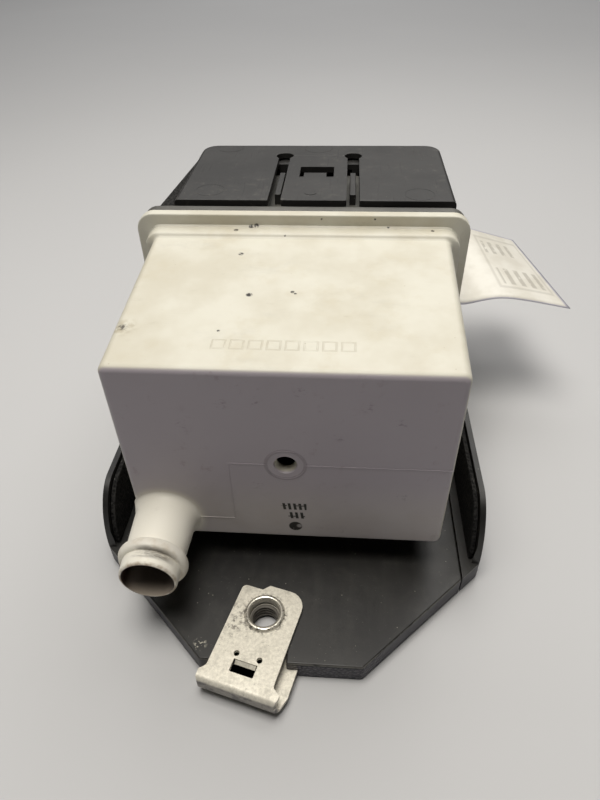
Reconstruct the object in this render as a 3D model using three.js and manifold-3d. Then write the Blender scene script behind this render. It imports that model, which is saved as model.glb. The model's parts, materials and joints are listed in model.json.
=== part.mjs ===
// Automatic air vent: a moulded vent box with a hose spigot, a duct and snap-on end cover that hold the
// filter and the one-way flap, and a foam-lined base with a folded steel clip nut.
// Millimetres, +Z up. Depths (y) are counted from the front face of the vent box, heights from the ground.
import * as THREE from "three";
import { mergeVertices } from "three/addons/utils/BufferGeometryUtils.js";
import Module from "manifold-3d";

const wasm = await Module();
wasm.setup();

// ---------------------------------------------------------------- driving dimensions
const seam = 0.3; // gap between two pieces that touch
const pinPlay = 0.05; // radial play of a turning pin

const base = {
  padThick: 3.5, // foam pad under the plate
  plateThick: 3,
  sideClear: 4.4, // from the box flange to the outside of the side wall
  shoulderY: 1.2, // where the front corners are cut off
  noseHalf: 21.3, // half width of the front edge
  noseY: -32,
  backClear: 6, // behind the end cover
  backRadius: 6,
  footWidth: 5.7, // strip of the plate that carries a wall
  wallThick: 1.6,
  wallHeight: 19.6,
  wallNose: 12.1, // length of a wall's rounded front end
  liningThick: 1.2,
  liningDrop: 1.4, // from the wall's rim down to its lining
  lipThick: 2, // turned-down edge that hides the pad
  lipGround: 0.3,
};
const box = { width: 85.5, height: 60, depth: 62.9, wall: 2.2, lift: 10, draft: 2.2, corner: 2.2, edge: 1.6 };
const collar = { depth: 5, proudX: 3.05, proudZ: 1.2, corner: 5 };
const flange = { thick: 3.3, proudX: 3.2, proudZ: 3.8, corner: 5.5 };
const gasket = { thick: 0.7, inset: 0.5 };
const spigot = { baseR: 8.4, noseR: 7.9, beadR: 9.65, boreR: 6.8, length: 21.4, beadY: 14.5, beadWide: 5.2, drop: 0.5 };
const pressureTap = { holeR: 2.55, lipR: 3.15, lipDepth: 0.5 };
const duct = { narrower: 7.7, taller: 1.9, offset: 3.1, wall: 2, corner: 3, flangeThick: 3.4, ribHeight: 3.6, ribWide: 2 };
const neckSeal = { thick: 3 };
const cover = { length: 54.2, wall: 2, gap: 3.9, slide: 0.4, corner: 3, backRadius: 6 };
const latch = { width: 20.9, slot: 4.15, length: 41.6, keyR: 3.1, windowHalf: 5.9, windowY: 20.5, windowLong: 9.6 };
const barb = { halfWide: 4, shift: -0.6, long: 4.2, height: 1.5, play: 0.4 };
const sideSeal = { frontThick: 5.6, backThick: 1.2, bottom: 20, top: 3.3 };
const grille = { width: 64, height: 44, rim: 3, depth: 5, blades: 7, bladeThick: 1.3, tilt: 35 };
const filter = { depth: 10, clear: 0.6, gap: 2, wall: 2, barWide: 2.4, barThick: 1.4 };
const valve = { y: 10.1, thick: 3, ledge: 6, ledgeThick: 2.8, marginX: 12.9, marginZ: 12.95, lap: 3, screwX: 3.4, screwZ: 3.4 };
const flap = { thick: 1.6, sealThick: 0.9, pinR: 1, knuckleR: 2.3, knuckleLong: 12, lugThick: 3, rise: 3.6 };
const coil = { turns: 5, wireR: 0.35, clear: 0.35 };
const smallScrew = { headR: 2.6, headTall: 1.8, shankR: 1.2, length: 6.5, seat: 0.2 };
const baseScrew = { headR: 3.3, headTall: 2, shankR: 1.5, seat: 0.3, rise: 6.2 };
const boss = { outerR: 4, holePlay: 0.3, rise: 4.6, apart: 60, frontY: 10.2, backY: 6 };
const coverPad = { thick: 2.2, halfWidth: 22 };
const clip = {
  x: -5.4,
  setback: 12.8, // from the front edge of the plate to the hole
  turn: -15,
  steel: 1,
  holeR: 4.1,
  collarR: 4.95,
  collarTall: 1,
  left: 9.05,
  right: 9.3,
  back: 8.6,
  step: 1.8,
  neckY: 17.9,
  front: 22,
  foldLeft: 10.5,
  foldRight: 11.5,
  foldRadius: 1.6,
  lowerRight: 12.8,
  lowerBack: 8.2,
  windowX: 0.35,
  windowHalf: 3.25,
  windowNear: 14.1,
  windowFar: 17.5,
  pilotR: 0.75,
  pilotHalf: 3.2,
  pilotY: 12.6,
  flare: 1.4, // how far the neck runs before it meets the fold
  rearRound: 4,
};
const pocket = { swing: 8, clear: 0.8 }; // degrees that the clip turns each way, and the room beside it
const nut = { boreR: 3.4, neckR: 4.5, rimR: 6, rimTall: 1.7, neckPlay: 0.35, hole: 6 };
const notch = { left: 11.6, right: 6.9, depth: 4, radius: 1.5 };
const tagThick = 0.5;
const rooted = 0.5; // how far a joined shape starts inside its neighbour

// ---------------------------------------------------------------- places worked out from them
const floorZ = base.padThick + seam + base.plateThick; // top of the plate
const plateBottom = floorZ - base.plateThick;
const boxZ = floorZ + box.lift + box.height / 2;
const boxMouth = { x: box.width / 2 + box.draft, z: box.height / 2 + box.draft };
const collarHalf = { x: boxMouth.x + collar.proudX, z: boxMouth.z + collar.proudZ };
const flangeHalf = { x: collarHalf.x + flange.proudX, z: collarHalf.z + flange.proudZ };
const flangeY = box.depth + collar.depth;
const gasketY = flangeY + flange.thick + seam;
const ductY = gasketY + gasket.thick + seam;
const neckY = ductY + duct.flangeThick;
const coverY = neckY + cover.gap;
const coverBack = coverY + cover.length;
const ductHalf = { x: (box.width - duct.narrower) / 2, z: (box.height + duct.taller) / 2 };
const ductBore = { x: ductHalf.x - duct.wall, z: ductHalf.z - duct.wall };
const valveOpen = { x: ductBore.x - valve.marginX, z: ductBore.z - valve.marginZ };
const coverBore = { x: ductHalf.x + duct.ribHeight + cover.slide, z: ductHalf.z + duct.ribHeight + cover.slide };
const coverHalf = { x: coverBore.x + cover.wall, z: coverBore.z + cover.wall };
const ductBack = coverBack - cover.wall - filter.gap * 2 - filter.depth;
const baseHalf = flangeHalf.x + base.sideClear;
const baseBack = coverBack + base.backClear;
const footX = baseHalf - base.footWidth; // where the plate meets a wall's foot
const wallTop = floorZ + base.wallHeight;
const spigotX = -box.width / 2 + spigot.baseR;
const spigotZ = boxZ - box.height / 2 + spigot.baseR - spigot.drop;
const rootY = coverY + latch.length; // where the latch tongue bends
const coverTop = boxZ + coverHalf.z;
const coverBottom = boxZ - coverHalf.z;
const clipY = base.noseY + clip.setback;
const originY = (base.noseY + baseBack) / 2; // middle of the base

// ---------------------------------------------------------------- shape helpers
function toSolid(geometry) {
  const bare = geometry.clone();
  bare.deleteAttribute("normal");
  bare.deleteAttribute("uv");
  const welded = mergeVertices(bare, 1e-4);
  const index = welded.index.array;
  const faces = [];
  for (let i = 0; i < index.length; i += 3) {
    const [a, b, c] = index.slice(i, i + 3);
    if (a !== b && b !== c && c !== a) faces.push(a, b, c);
  }
  const vertProperties = welded.attributes.position.array;
  return new wasm.Manifold(new wasm.Mesh({ numProp: 3, vertProperties, triVerts: new Uint32Array(faces) }));
}

function toGeometry(solid) {
  const mesh = solid.getMesh();
  const geometry = new THREE.BufferGeometry();
  geometry.setAttribute("position", new THREE.BufferAttribute(mesh.vertProperties, 3));
  geometry.setIndex(new THREE.BufferAttribute(mesh.triVerts, 1));
  geometry.computeVertexNormals();
  return geometry;
}

const join = (...pieces) => toGeometry(pieces.map(toSolid).reduce((a, b) => a.add(b)));
const cut = (piece, ...tools) => toGeometry(tools.map(toSolid).reduce((a, b) => a.subtract(b), toSolid(piece)));
const common = (...pieces) => toGeometry(pieces.map(toSolid).reduce((a, b) => a.intersect(b)));

// Corners given anticlockwise from the lower right.
function roundRect(halfX, halfY, radius, cx = 0, cy = 0) {
  const r = Math.min(radius, halfX, halfY);
  const shape = new THREE.Shape();
  shape.absarc(cx + halfX - r, cy - halfY + r, r, -Math.PI / 2, 0);
  shape.absarc(cx + halfX - r, cy + halfY - r, r, 0, Math.PI / 2);
  shape.absarc(cx - halfX + r, cy + halfY - r, r, Math.PI / 2, Math.PI);
  shape.absarc(cx - halfX + r, cy - halfY + r, r, Math.PI, Math.PI * 1.5);
  return shape;
}

const extrude = (shape, depth, curveSegments = 3) =>
  new THREE.ExtrudeGeometry(shape, { depth, curveSegments, bevelEnabled: false });
// A shape drawn in x, y that stands from z0 to z1.
const upright = (shape, z0, z1) => extrude(shape, z1 - z0).translate(0, 0, z0);
// A shape drawn in x, z that runs back from y0 to y1.
const alongY = (shape, y0, y1) => extrude(shape, y1 - y0).rotateX(Math.PI / 2).translate(0, y1, 0);
// A shape drawn in y, z that runs across from x0 to x1.
function alongX(shape, x0, x1) {
  const turned = new THREE.Matrix4().makeBasis(
    new THREE.Vector3(0, 1, 0),
    new THREE.Vector3(0, 0, 1),
    new THREE.Vector3(1, 0, 0),
  );
  return extrude(shape, x1 - x0).applyMatrix4(turned).translate(x0, 0, 0);
}
const block = (x0, x1, y0, y1, z0, z1) =>
  new THREE.BoxGeometry(x1 - x0, y1 - y0, z1 - z0).translate((x0 + x1) / 2, (y0 + y1) / 2, (z0 + z1) / 2);
const rodZ = (radius, x, y, z0, z1, sides = 24) =>
  new THREE.CylinderGeometry(radius, radius, z1 - z0, sides).rotateX(Math.PI / 2).translate(x, y, (z0 + z1) / 2);
const rodY = (radius, x, z, y0, y1, sides = 24) =>
  new THREE.CylinderGeometry(radius, radius, y1 - y0, sides).translate(x, (y0 + y1) / 2, z);
const rodX = (radius, y, z, x0, x1, sides = 20) =>
  new THREE.CylinderGeometry(radius, radius, x1 - x0, sides).rotateZ(Math.PI / 2).translate((x0 + x1) / 2, y, z);

// Skin over outlines of equal point count, each standing in x, z at its own depth.
function loft(sections) {
  const outlines = sections.map(({ shape }) => shape.extractPoints(3).shape);
  const count = outlines[0].length;
  const positions = outlines.flatMap((points, i) => points.flatMap((p) => [p.x, sections[i].y, p.y]));
  const index = [];
  for (let i = 0; i < outlines.length - 1; i++)
    for (let j = 0; j < count; j++) {
      const a = i * count + j;
      const d = i * count + ((j + 1) % count);
      index.push(a, a + count, d + count, a, d + count, d);
    }
  const last = (outlines.length - 1) * count;
  for (const [a, b, c] of THREE.ShapeUtils.triangulateShape(outlines[0], [])) {
    index.push(a, b, c);
    index.push(last + a, last + c, last + b);
  }
  const geometry = new THREE.BufferGeometry();
  geometry.setAttribute("position", new THREE.Float32BufferAttribute(positions, 3));
  return geometry.setIndex(index);
}

// A turned piece about a line along y; the profile lists radius and distance along the line.
const turned = (profile, x, z, sides = 32) =>
  new THREE.LatheGeometry(profile.map(([r, y]) => new THREE.Vector2(r, y)), sides).translate(x, 0, z);

const finish = {
  whitePlastic: { color: 0xe3ddcb, roughness: 0.45, metalness: 0 },
  greyPlastic: { color: 0x55544f, roughness: 0.5, metalness: 0 },
  blackPlastic: { color: 0x2b2a29, roughness: 0.45, metalness: 0 },
  foam: { color: 0x121212, roughness: 0.98, metalness: 0 },
  rubber: { color: 0x1d1d1e, roughness: 0.85, metalness: 0 },
  filterFelt: { color: 0xc9c6bb, roughness: 0.95, metalness: 0 },
  zincSteel: { color: 0xcfc7b2, roughness: 0.35, metalness: 0.9 },
  springSteel: { color: 0xa9abad, roughness: 0.3, metalness: 1 },
  film: { color: 0xe6e2d8, roughness: 0.4, metalness: 0 },
};

function mesh(name, geometry, look) {
  const piece = new THREE.Mesh(geometry, new THREE.MeshStandardMaterial(look));
  piece.name = name;
  return piece;
}

// ---------------------------------------------------------------- vent box
function ventBox() {
  const section = (grow, halfX = box.width / 2, halfZ = box.height / 2, r = box.corner) =>
    roundRect(halfX + grow, halfZ + grow, Math.max(r + Math.min(grow, 0), 0.4), 0, boxZ);
  const body = loft([
    { y: 0, shape: section(-box.edge) },
    { y: box.edge * 0.3, shape: section(-box.edge * 0.3) },
    { y: box.edge, shape: section(0) },
    { y: box.depth, shape: section(0, boxMouth.x, boxMouth.z) },
    { y: flangeY, shape: section(0, boxMouth.x, boxMouth.z) },
  ]);
  const collarBlock = alongY(roundRect(collarHalf.x, collarHalf.z, collar.corner, 0, boxZ), box.depth, flangeY);
  const flangeBlock = alongY(
    roundRect(flangeHalf.x, flangeHalf.z, flange.corner, 0, boxZ),
    flangeY,
    flangeY + flange.thick,
  );
  const hollow = loft([
    { y: box.wall, shape: section(-box.wall) },
    { y: box.depth, shape: section(-box.wall, boxMouth.x, boxMouth.z) },
    { y: flangeY + flange.thick + 1, shape: section(-box.wall, boxMouth.x, boxMouth.z) },
  ]);
  const half = spigot.beadWide / 2;
  const hose = turned(
    [
      [0, -spigot.length],
      [spigot.noseR - 0.3, -spigot.length],
      [spigot.noseR, -spigot.length + 0.4],
      [spigot.noseR, -spigot.beadY - half],
      [spigot.beadR - 0.5, -spigot.beadY - half * 0.35],
      [spigot.beadR, -spigot.beadY],
      [spigot.beadR - 0.5, -spigot.beadY + half * 0.35],
      [spigot.noseR, -spigot.beadY + half],
      [spigot.baseR, -2.4],
      [spigot.baseR + 0.6, -0.8],
      [spigot.baseR + 0.6, box.wall],
      [0, box.wall],
    ],
    spigotX,
    spigotZ,
  );
  const withinWidth = block(-box.width / 2, box.width / 2, -spigot.length - 1, box.wall + 1, 0, boxZ);
  return cut(
    join(body, collarBlock, flangeBlock, common(hose, withinWidth)),
    hollow,
    rodY(spigot.boreR, spigotX, spigotZ, -spigot.length - 1, box.wall + 1, 32),
    rodY(pressureTap.holeR, 0, boxZ, -1, box.wall + 1),
    rodY(pressureTap.lipR, 0, boxZ, -1, pressureTap.lipDepth),
  );
}

function flangeGasket() {
  const edge = { x: flangeHalf.x - gasket.inset, z: flangeHalf.z - gasket.inset };
  const outer = alongY(roundRect(edge.x, edge.z, flange.corner, 0, boxZ), gasketY, gasketY + gasket.thick);
  const opening = roundRect(boxMouth.x - box.wall, boxMouth.z - box.wall, box.corner, 0, boxZ);
  return cut(outer, alongY(opening, gasketY - 1, gasketY + gasket.thick + 1));
}

// ---------------------------------------------------------------- duct behind the box
function ductRibs() {
  const from = coverY + 4;
  const to = ductBack - 2;
  const half = duct.ribWide / 2;
  const top = boxZ + ductHalf.z;
  const bottom = boxZ - ductHalf.z;
  const slotX = latch.width / 2 + latch.slot / 2;
  const tall = duct.ribHeight;
  const ribs = [-slotX - 15, -slotX, slotX, slotX + 15].map((x) =>
    block(duct.offset + x - half, duct.offset + x + half, from, to, top - 0.5, top + tall),
  );
  for (const x of [-12, 12])
    ribs.push(block(duct.offset + x - half, duct.offset + x + half, from, to, bottom - tall, bottom + 0.5));
  for (const z of [-15, 15])
    for (const side of [-1, 1]) {
      const inner = duct.offset + side * (ductHalf.x - 0.5);
      const outer = duct.offset + side * (ductHalf.x + tall);
      const [x0, x1] = [Math.min(inner, outer), Math.max(inner, outer)];
      ribs.push(block(x0, x1, from, to, boxZ + z - half, boxZ + z + half));
    }
  return ribs;
}

function barbBlock() {
  const y0 = coverY + latch.windowY + barb.play;
  const top = coverTop - cover.wall + barb.height;
  const root = boxZ + ductHalf.z - 0.5;
  const side = new THREE.Shape();
  side.moveTo(y0, root);
  side.lineTo(y0 + barb.long + 2, root);
  side.lineTo(y0 + barb.long, top - barb.height);
  side.lineTo(y0 + barb.long * 0.35, top);
  side.lineTo(y0, top);
  const centre = duct.offset + barb.shift;
  return alongX(side, centre - barb.halfWide, centre + barb.halfWide);
}

function mouthFrame() {
  const edge = { x: flangeHalf.x - gasket.inset, z: flangeHalf.z - gasket.inset };
  const bore = (y0, y1) => alongY(roundRect(ductBore.x, ductBore.z, duct.corner - 1, duct.offset, boxZ), y0, y1);
  const ledgeY = ductY + valve.y + valve.thick + seam;
  const ledgeEnd = ledgeY + valve.ledgeThick;
  const ledgeHole = roundRect(ductBore.x - valve.ledge, ductBore.z - valve.ledge, 2, duct.offset, boxZ);
  const shell = join(
    alongY(roundRect(edge.x, edge.z, flange.corner, 0, boxZ), ductY, neckY),
    alongY(roundRect(ductHalf.x, ductHalf.z, duct.corner, duct.offset, boxZ), ductY, ductBack),
    ...ductRibs(),
    barbBlock(),
  );
  const pilots = valveScrewPlaces().map(([x, z]) =>
    rodY(smallScrew.shankR + boss.holePlay, x, z, ledgeY - 1, ledgeEnd + 1, 16),
  );
  return cut(
    shell,
    bore(ductY - 1, ledgeY),
    bore(ledgeEnd, ductBack + 1),
    alongY(ledgeHole, ledgeY - 1, ledgeEnd + 1),
    ...pilots,
  );
}

function neckSealRing() {
  const around = (grow, y0, y1) =>
    alongY(roundRect(ductHalf.x + grow, ductHalf.z + grow, duct.corner + grow, duct.offset, boxZ), y0, y1);
  return cut(
    around(seam + neckSeal.thick, neckY + seam, coverY - seam),
    around(seam, neckY - 1, coverY + 1),
  );
}

// ---------------------------------------------------------------- one-way valve in the duct
const valveFace = ductY + valve.y; // front of the valve plate
const hingeY = valveFace - flap.thick - flap.sealThick - seam * 2 - flap.knuckleR + flap.thick / 2;
const hingeZ = boxZ + valveOpen.z + valve.lap + flap.rise;

function valveScrewPlaces() {
  const x = ductBore.x - valve.screwX;
  const z = ductBore.z - valve.screwZ;
  return [
    [duct.offset - x, boxZ - z],
    [duct.offset + x, boxZ - z],
    [duct.offset - x, boxZ + z],
    [duct.offset + x, boxZ + z],
  ];
}

function valvePlate() {
  const fit = seam;
  const plate = alongY(
    roundRect(ductBore.x - fit, ductBore.z - fit, duct.corner - 1, duct.offset, boxZ),
    valveFace,
    valveFace + valve.thick,
  );
  const lugs = [-1, 1].map((side) => {
    const centre = duct.offset + side * (flap.knuckleLong * 1.5 + flap.lugThick);
    const round = rodX(flap.knuckleR, hingeY, hingeZ, centre - flap.lugThick / 2, centre + flap.lugThick / 2);
    const arm = block(
      centre - flap.lugThick / 2,
      centre + flap.lugThick / 2,
      hingeY,
      valveFace + 0.5,
      hingeZ - flap.knuckleR,
      hingeZ + flap.knuckleR,
    );
    return join(round, arm);
  });
  const opening = alongY(
    roundRect(valveOpen.x, valveOpen.z, 2, duct.offset, boxZ),
    valveFace - 1,
    valveFace + valve.thick + 1,
  );
  const reach = flap.knuckleLong * 1.5 + flap.lugThick * 2;
  const pinHole = rodX(flap.pinR + pinPlay, hingeY, hingeZ, duct.offset - reach, duct.offset + reach);
  const holes = valveScrewPlaces().map(([x, z]) =>
    rodY(smallScrew.shankR + boss.holePlay, x, z, valveFace - 1, valveFace + valve.thick + 1, 16),
  );
  return cut(join(plate, ...lugs), opening, pinHole, ...holes);
}

function valveFlap() {
  const back = valveFace - seam * 2 - flap.sealThick;
  const halfX = valveOpen.x + valve.lap;
  const low = boxZ - valveOpen.z - valve.lap;
  const leafTop = hingeZ - flap.knuckleR - seam * 2;
  const shape = roundRect(halfX, (leafTop - low) / 2, 2.5, duct.offset, (leafTop + low) / 2);
  const leaf = alongY(shape, back - flap.thick, back);
  const stiffeners = [-1, 0, 1].map((k) =>
    block(
      duct.offset + k * halfX * 0.55 - 0.6,
      duct.offset + k * halfX * 0.55 + 0.6,
      back - flap.thick - 1.2,
      back - flap.thick + 0.2,
      low + 3,
      leafTop - 6,
    ),
  );
  const knuckles = [-1, 1].map((side) => {
    const centre = duct.offset + side * flap.knuckleLong;
    const [x0, x1] = [centre - flap.knuckleLong / 2, centre + flap.knuckleLong / 2];
    const web = block(x0, x1, back - flap.thick, back, leafTop - 2, hingeZ);
    return join(rodX(flap.knuckleR, hingeY, hingeZ, x0, x1), web);
  });
  const reach = flap.knuckleLong * 2;
  const pinHole = rodX(flap.pinR + pinPlay, hingeY, hingeZ, duct.offset - reach, duct.offset + reach);
  return cut(join(leaf, ...stiffeners, ...knuckles), pinHole);
}

function flapSeal() {
  const back = valveFace - seam;
  const shape = roundRect(valveOpen.x + valve.lap - 0.5, valveOpen.z + valve.lap - 0.5, 2, duct.offset, boxZ);
  return alongY(shape, back - flap.sealThick, back);
}

function flapPin() {
  const reach = flap.knuckleLong * 1.5 + flap.lugThick * 1.5 + 1;
  return rodX(flap.pinR, hingeY, hingeZ, duct.offset - reach, duct.offset + reach);
}

function flapSpring() {
  const radius = flap.pinR + coil.clear + coil.wireR;
  const pitch = coil.wireR * 2.6;
  const steps = coil.turns * 12;
  const half = (coil.turns * pitch) / 2;
  const points = [new THREE.Vector3(duct.offset - half, hingeY - radius - 3.5, hingeZ)];
  for (let i = 0; i <= steps; i++) {
    const angle = (i / 12) * Math.PI * 2 + Math.PI;
    const x = duct.offset - half + (i / steps) * 2 * half;
    points.push(new THREE.Vector3(x, hingeY + radius * Math.cos(angle), hingeZ + radius * Math.sin(angle)));
  }
  points.push(new THREE.Vector3(duct.offset + half, hingeY - radius - 0.2, hingeZ - 3));
  points.push(new THREE.Vector3(duct.offset + half, hingeY - radius - 0.4, hingeZ - 8));
  const wire = new THREE.Shape().absarc(0, 0, coil.wireR, 0, Math.PI * 2);
  return new THREE.ExtrudeGeometry(wire, {
    steps: steps + 12,
    curveSegments: 3,
    bevelEnabled: false,
    extrudePath: new THREE.CatmullRomCurve3(points),
  });
}

// Pan head with a cone recess; the head sits at the start and the shank points along +y.
function screwGeometry({ headR, headTall, shankR }, length) {
  return turned(
    [
      [0, headTall * 0.6],
      [headR * 0.45, 0],
      [headR * 0.75, 0],
      [headR, headTall * 0.45],
      [headR, headTall],
      [shankR, headTall],
      [shankR, headTall + length - 0.8],
      [0, headTall + length],
    ],
    0,
    0,
    20,
  );
}

// ---------------------------------------------------------------- end cover, latch, grille and filter
const inPlan = (half, y0, y1, radius, z0, z1) => {
  const shape = new THREE.Shape();
  const [x0, x1] = [duct.offset - half, duct.offset + half];
  shape.moveTo(x0, y0);
  shape.lineTo(x1, y0);
  shape.absarc(x1 - radius, y1 - radius, radius, 0, Math.PI / 2);
  shape.absarc(x0 + radius, y1 - radius, radius, Math.PI / 2, Math.PI);
  return upright(shape, z0, z1);
};
const slotPlaces = [-1, 1].map((side) => duct.offset + side * (latch.width + latch.slot) / 2);

function bossPlaces() {
  return [coverY + boss.frontY, ductBack - boss.backY].flatMap((y) => [
    [duct.offset - boss.apart / 2, y],
    [duct.offset + boss.apart / 2, y],
  ]);
}

function endCover() {
  const shell = common(
    alongY(roundRect(coverHalf.x, coverHalf.z, cover.corner, duct.offset, boxZ), coverY, coverBack),
    inPlan(coverHalf.x, coverY, coverBack, cover.backRadius, coverBottom, coverTop),
  );
  const inner = common(
    alongY(roundRect(coverBore.x, coverBore.z, cover.corner - 1, duct.offset, boxZ), coverY - 1, coverBack),
    inPlan(coverBore.x, coverY - 1, coverBack - cover.wall, cover.backRadius - cover.wall, 0, coverTop + 1),
  );
  const tongueRoom = block(
    duct.offset - latch.width / 2 - latch.slot,
    duct.offset + latch.width / 2 + latch.slot,
    coverY - 1,
    rootY,
    coverTop - cover.wall - 1,
    coverTop + 1,
  );
  const keys = slotPlaces.map((x) => rodZ(latch.keyR, x, rootY, coverTop - cover.wall - 1, coverTop + 1));
  const window = alongY(roundRect(grille.width / 2, grille.height / 2, 2, duct.offset, boxZ), coverBack - 4, coverBack + 1);
  const bosses = bossPlaces().map(([x, y]) =>
    rodZ(boss.outerR, x, y, floorZ + seam, coverBottom + boss.rise),
  );
  const bores = bossPlaces().map(([x, y]) =>
    rodZ(baseScrew.shankR + boss.holePlay, x, y, floorZ, coverBottom + boss.rise + 1, 16),
  );
  return cut(join(cut(shell, inner), ...bosses), tongueRoom, window, ...keys, ...bores);
}

function latchTongue() {
  const window = block(
    duct.offset - latch.windowHalf,
    duct.offset + latch.windowHalf,
    coverY + latch.windowY,
    coverY + latch.windowY + latch.windowLong,
    coverTop - cover.wall - 1,
    coverTop + 1,
  );
  const leaf = block(
    duct.offset - latch.width / 2,
    duct.offset + latch.width / 2,
    coverY,
    rootY - seam,
    coverTop - cover.wall,
    coverTop,
  );
  const keys = slotPlaces.map((x) => rodZ(latch.keyR, x, rootY, coverTop - cover.wall - 1, coverTop + 1));
  return cut(leaf, window, ...keys);
}

function coverSideSeal() {
  const flank = duct.offset - coverHalf.x - seam;
  const shape = new THREE.Shape();
  shape.moveTo(flank, coverY + seam);
  shape.lineTo(flank, coverBack - cover.backRadius);
  shape.lineTo(flank - sideSeal.backThick, coverBack - cover.backRadius);
  shape.lineTo(flank - sideSeal.frontThick, coverY + seam);
  return upright(shape, coverBottom + sideSeal.bottom, coverTop - sideSeal.top);
}

function inletGrille() {
  const half = { x: grille.width / 2 - seam, z: grille.height / 2 - seam };
  const [y0, y1] = [coverBack - grille.depth + 1, coverBack + 1];
  const frame = cut(
    alongY(roundRect(half.x, half.z, 1.8, duct.offset, boxZ), y0, y1),
    alongY(roundRect(half.x - grille.rim, half.z - grille.rim, 1, duct.offset, boxZ), y0 - 1, y1 + 1),
  );
  const inner = half.z - grille.rim;
  const pitch = (inner * 2) / grille.blades;
  const tilt = THREE.MathUtils.degToRad(grille.tilt);
  const blades = Array.from({ length: grille.blades }, (_, i) =>
    new THREE.BoxGeometry((half.x - grille.rim) * 2 + 1, grille.depth - 0.6, grille.bladeThick)
      .rotateX(tilt)
      .translate(duct.offset, (y0 + y1) / 2, boxZ - inner + pitch * (i + 0.5)),
  );
  return common(
    join(frame, ...blades),
    block(duct.offset - half.x, duct.offset + half.x, y0, y1, boxZ - half.z, boxZ + half.z),
  );
}

const filterY = ductBack + filter.gap;
const filterHalf = { x: coverBore.x - filter.clear, z: coverBore.z - filter.clear };

function filterFrame() {
  const [y0, y1] = [filterY, filterY + filter.depth];
  const inner = { x: filterHalf.x - filter.wall, z: filterHalf.z - filter.wall };
  const ring = cut(
    alongY(roundRect(filterHalf.x, filterHalf.z, 3, duct.offset, boxZ), y0, y1),
    alongY(roundRect(inner.x, inner.z, 1.5, duct.offset, boxZ), y0 - 1, y1 + 1),
  );
  const bars = [-1, 1].map((side) => {
    const centre = duct.offset + (side * inner.x) / 3;
    const half = filter.barWide / 2;
    return block(centre - half, centre + half, y0, y0 + filter.barThick, boxZ - inner.z - 0.5, boxZ + inner.z + 0.5);
  });
  return common(
    join(ring, ...bars),
    inPlan(coverBore.x - filter.clear, coverY, coverBack - cover.wall - seam, 3.5, 0, coverTop),
  );
}

function filterPad() {
  const half = { x: filterHalf.x - filter.wall - seam, z: filterHalf.z - filter.wall - seam };
  const y0 = filterY + filter.barThick + seam;
  return alongY(roundRect(half.x, half.z, 1.2, duct.offset, boxZ), y0, filterY + filter.depth - 0.6);
}

// ---------------------------------------------------------------- base
function baseOutline(inset = 0) {
  const r = base.backRadius - Math.min(inset, base.backRadius - 1);
  const half = baseHalf - inset;
  const back = baseBack - inset;
  const nose = base.noseHalf - inset * 0.4;
  const shape = new THREE.Shape();
  shape.moveTo(-nose, base.noseY + inset);
  shape.lineTo(nose, base.noseY + inset);
  shape.lineTo(half, base.shoulderY + inset * 0.4);
  shape.absarc(half - r, back - r, r, 0, Math.PI / 2);
  shape.absarc(-half + r, back - r, r, Math.PI / 2, Math.PI);
  shape.lineTo(-half, base.shoulderY + inset * 0.4);
  return shape;
}

// Band of the outline between two insets, standing on the plate.
const rim = (outer, inner, z0, z1) =>
  cut(upright(baseOutline(outer), z0, z1), upright(baseOutline(inner), z0 - 1, z1 + 1));
const farBack = baseBack + 1;
const footBack = baseBack - base.footWidth;

function noseNotch(z0, z1) {
  const halfX = (notch.left + notch.right) / 2;
  const centre = clip.x + (notch.right - notch.left) / 2;
  return upright(roundRect(halfX, notch.depth, notch.radius, centre, base.noseY), z0, z1);
}

// Room for the clip's lower leaf as it turns about the hole.
function clipPocket(z0, z1) {
  const { clear, swing } = pocket;
  const places = [-swing, 0, swing].map((angle) =>
    block(-clip.foldLeft - clear, clip.lowerRight + clear, -clip.front - 4, clip.lowerBack + clear, z0, z1)
      .rotateZ(THREE.MathUtils.degToRad(clip.turn + angle))
      .translate(clip.x, clipY, 0),
  );
  return join(...places);
}
// The plate or a wall's foot: the outline with its edge turned down.
const baseSlab = () =>
  join(
    upright(baseOutline(), plateBottom, floorZ),
    rim(0, base.lipThick, base.lipGround, plateBottom + rooted),
  );

function basePlate() {
  const halfX = footX - seam / 2;
  return cut(
    common(baseSlab(), block(-halfX, halfX, base.noseY - 1, footBack - seam / 2, 0, floorZ + 1)),
    noseNotch(0, floorZ + 1),
    clipPocket(0, plateBottom),
    rodZ(nut.hole, clip.x, clipY, 0, floorZ + 1, 32),
    ...bossPlaces().map(([x, y]) => rodZ(baseScrew.shankR + boss.holePlay, x, y, 0, floorZ + 1, 16)),
  );
}

// The clip's lower leaf and nut swing in a pocket of the pad.
function basePad() {
  return cut(
    upright(baseOutline(base.lipThick + seam), 0, base.padThick),
    clipPocket(-1, floorZ),
    ...bossPlaces().map(([x, y]) => rodZ(baseScrew.headR + 1, x, y, -1, floorZ, 20)),
  );
}

// Side view of a wall: a quarter ellipse at the front, then level. It starts a little inside the foot.
function wallSide(drop, setback) {
  const y0 = base.shoulderY + setback;
  const top = base.wallHeight - drop;
  const shape = new THREE.Shape();
  shape.moveTo(y0, floorZ - rooted);
  shape.lineTo(y0, floorZ);
  shape.absellipse(y0 + base.wallNose, floorZ, base.wallNose, top, Math.PI, Math.PI / 2, true);
  shape.lineTo(baseBack + 1, floorZ + top);
  shape.lineTo(baseBack + 1, floorZ - rooted);
  return alongX(shape, -baseHalf - 1, baseHalf + 1);
}

function sideRail(side) {
  const [x0, x1] = side < 0 ? [-baseHalf - 1, -footX - seam / 2] : [footX + seam / 2, baseHalf + 1];
  const region = block(x0, x1, base.noseY - 1, farBack, 0, wallTop + 1);
  const foot = common(baseSlab(), region);
  const wall = common(rim(0, base.wallThick, floorZ - rooted, wallTop), region, wallSide(0, 0));
  return join(foot, wall);
}

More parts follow.
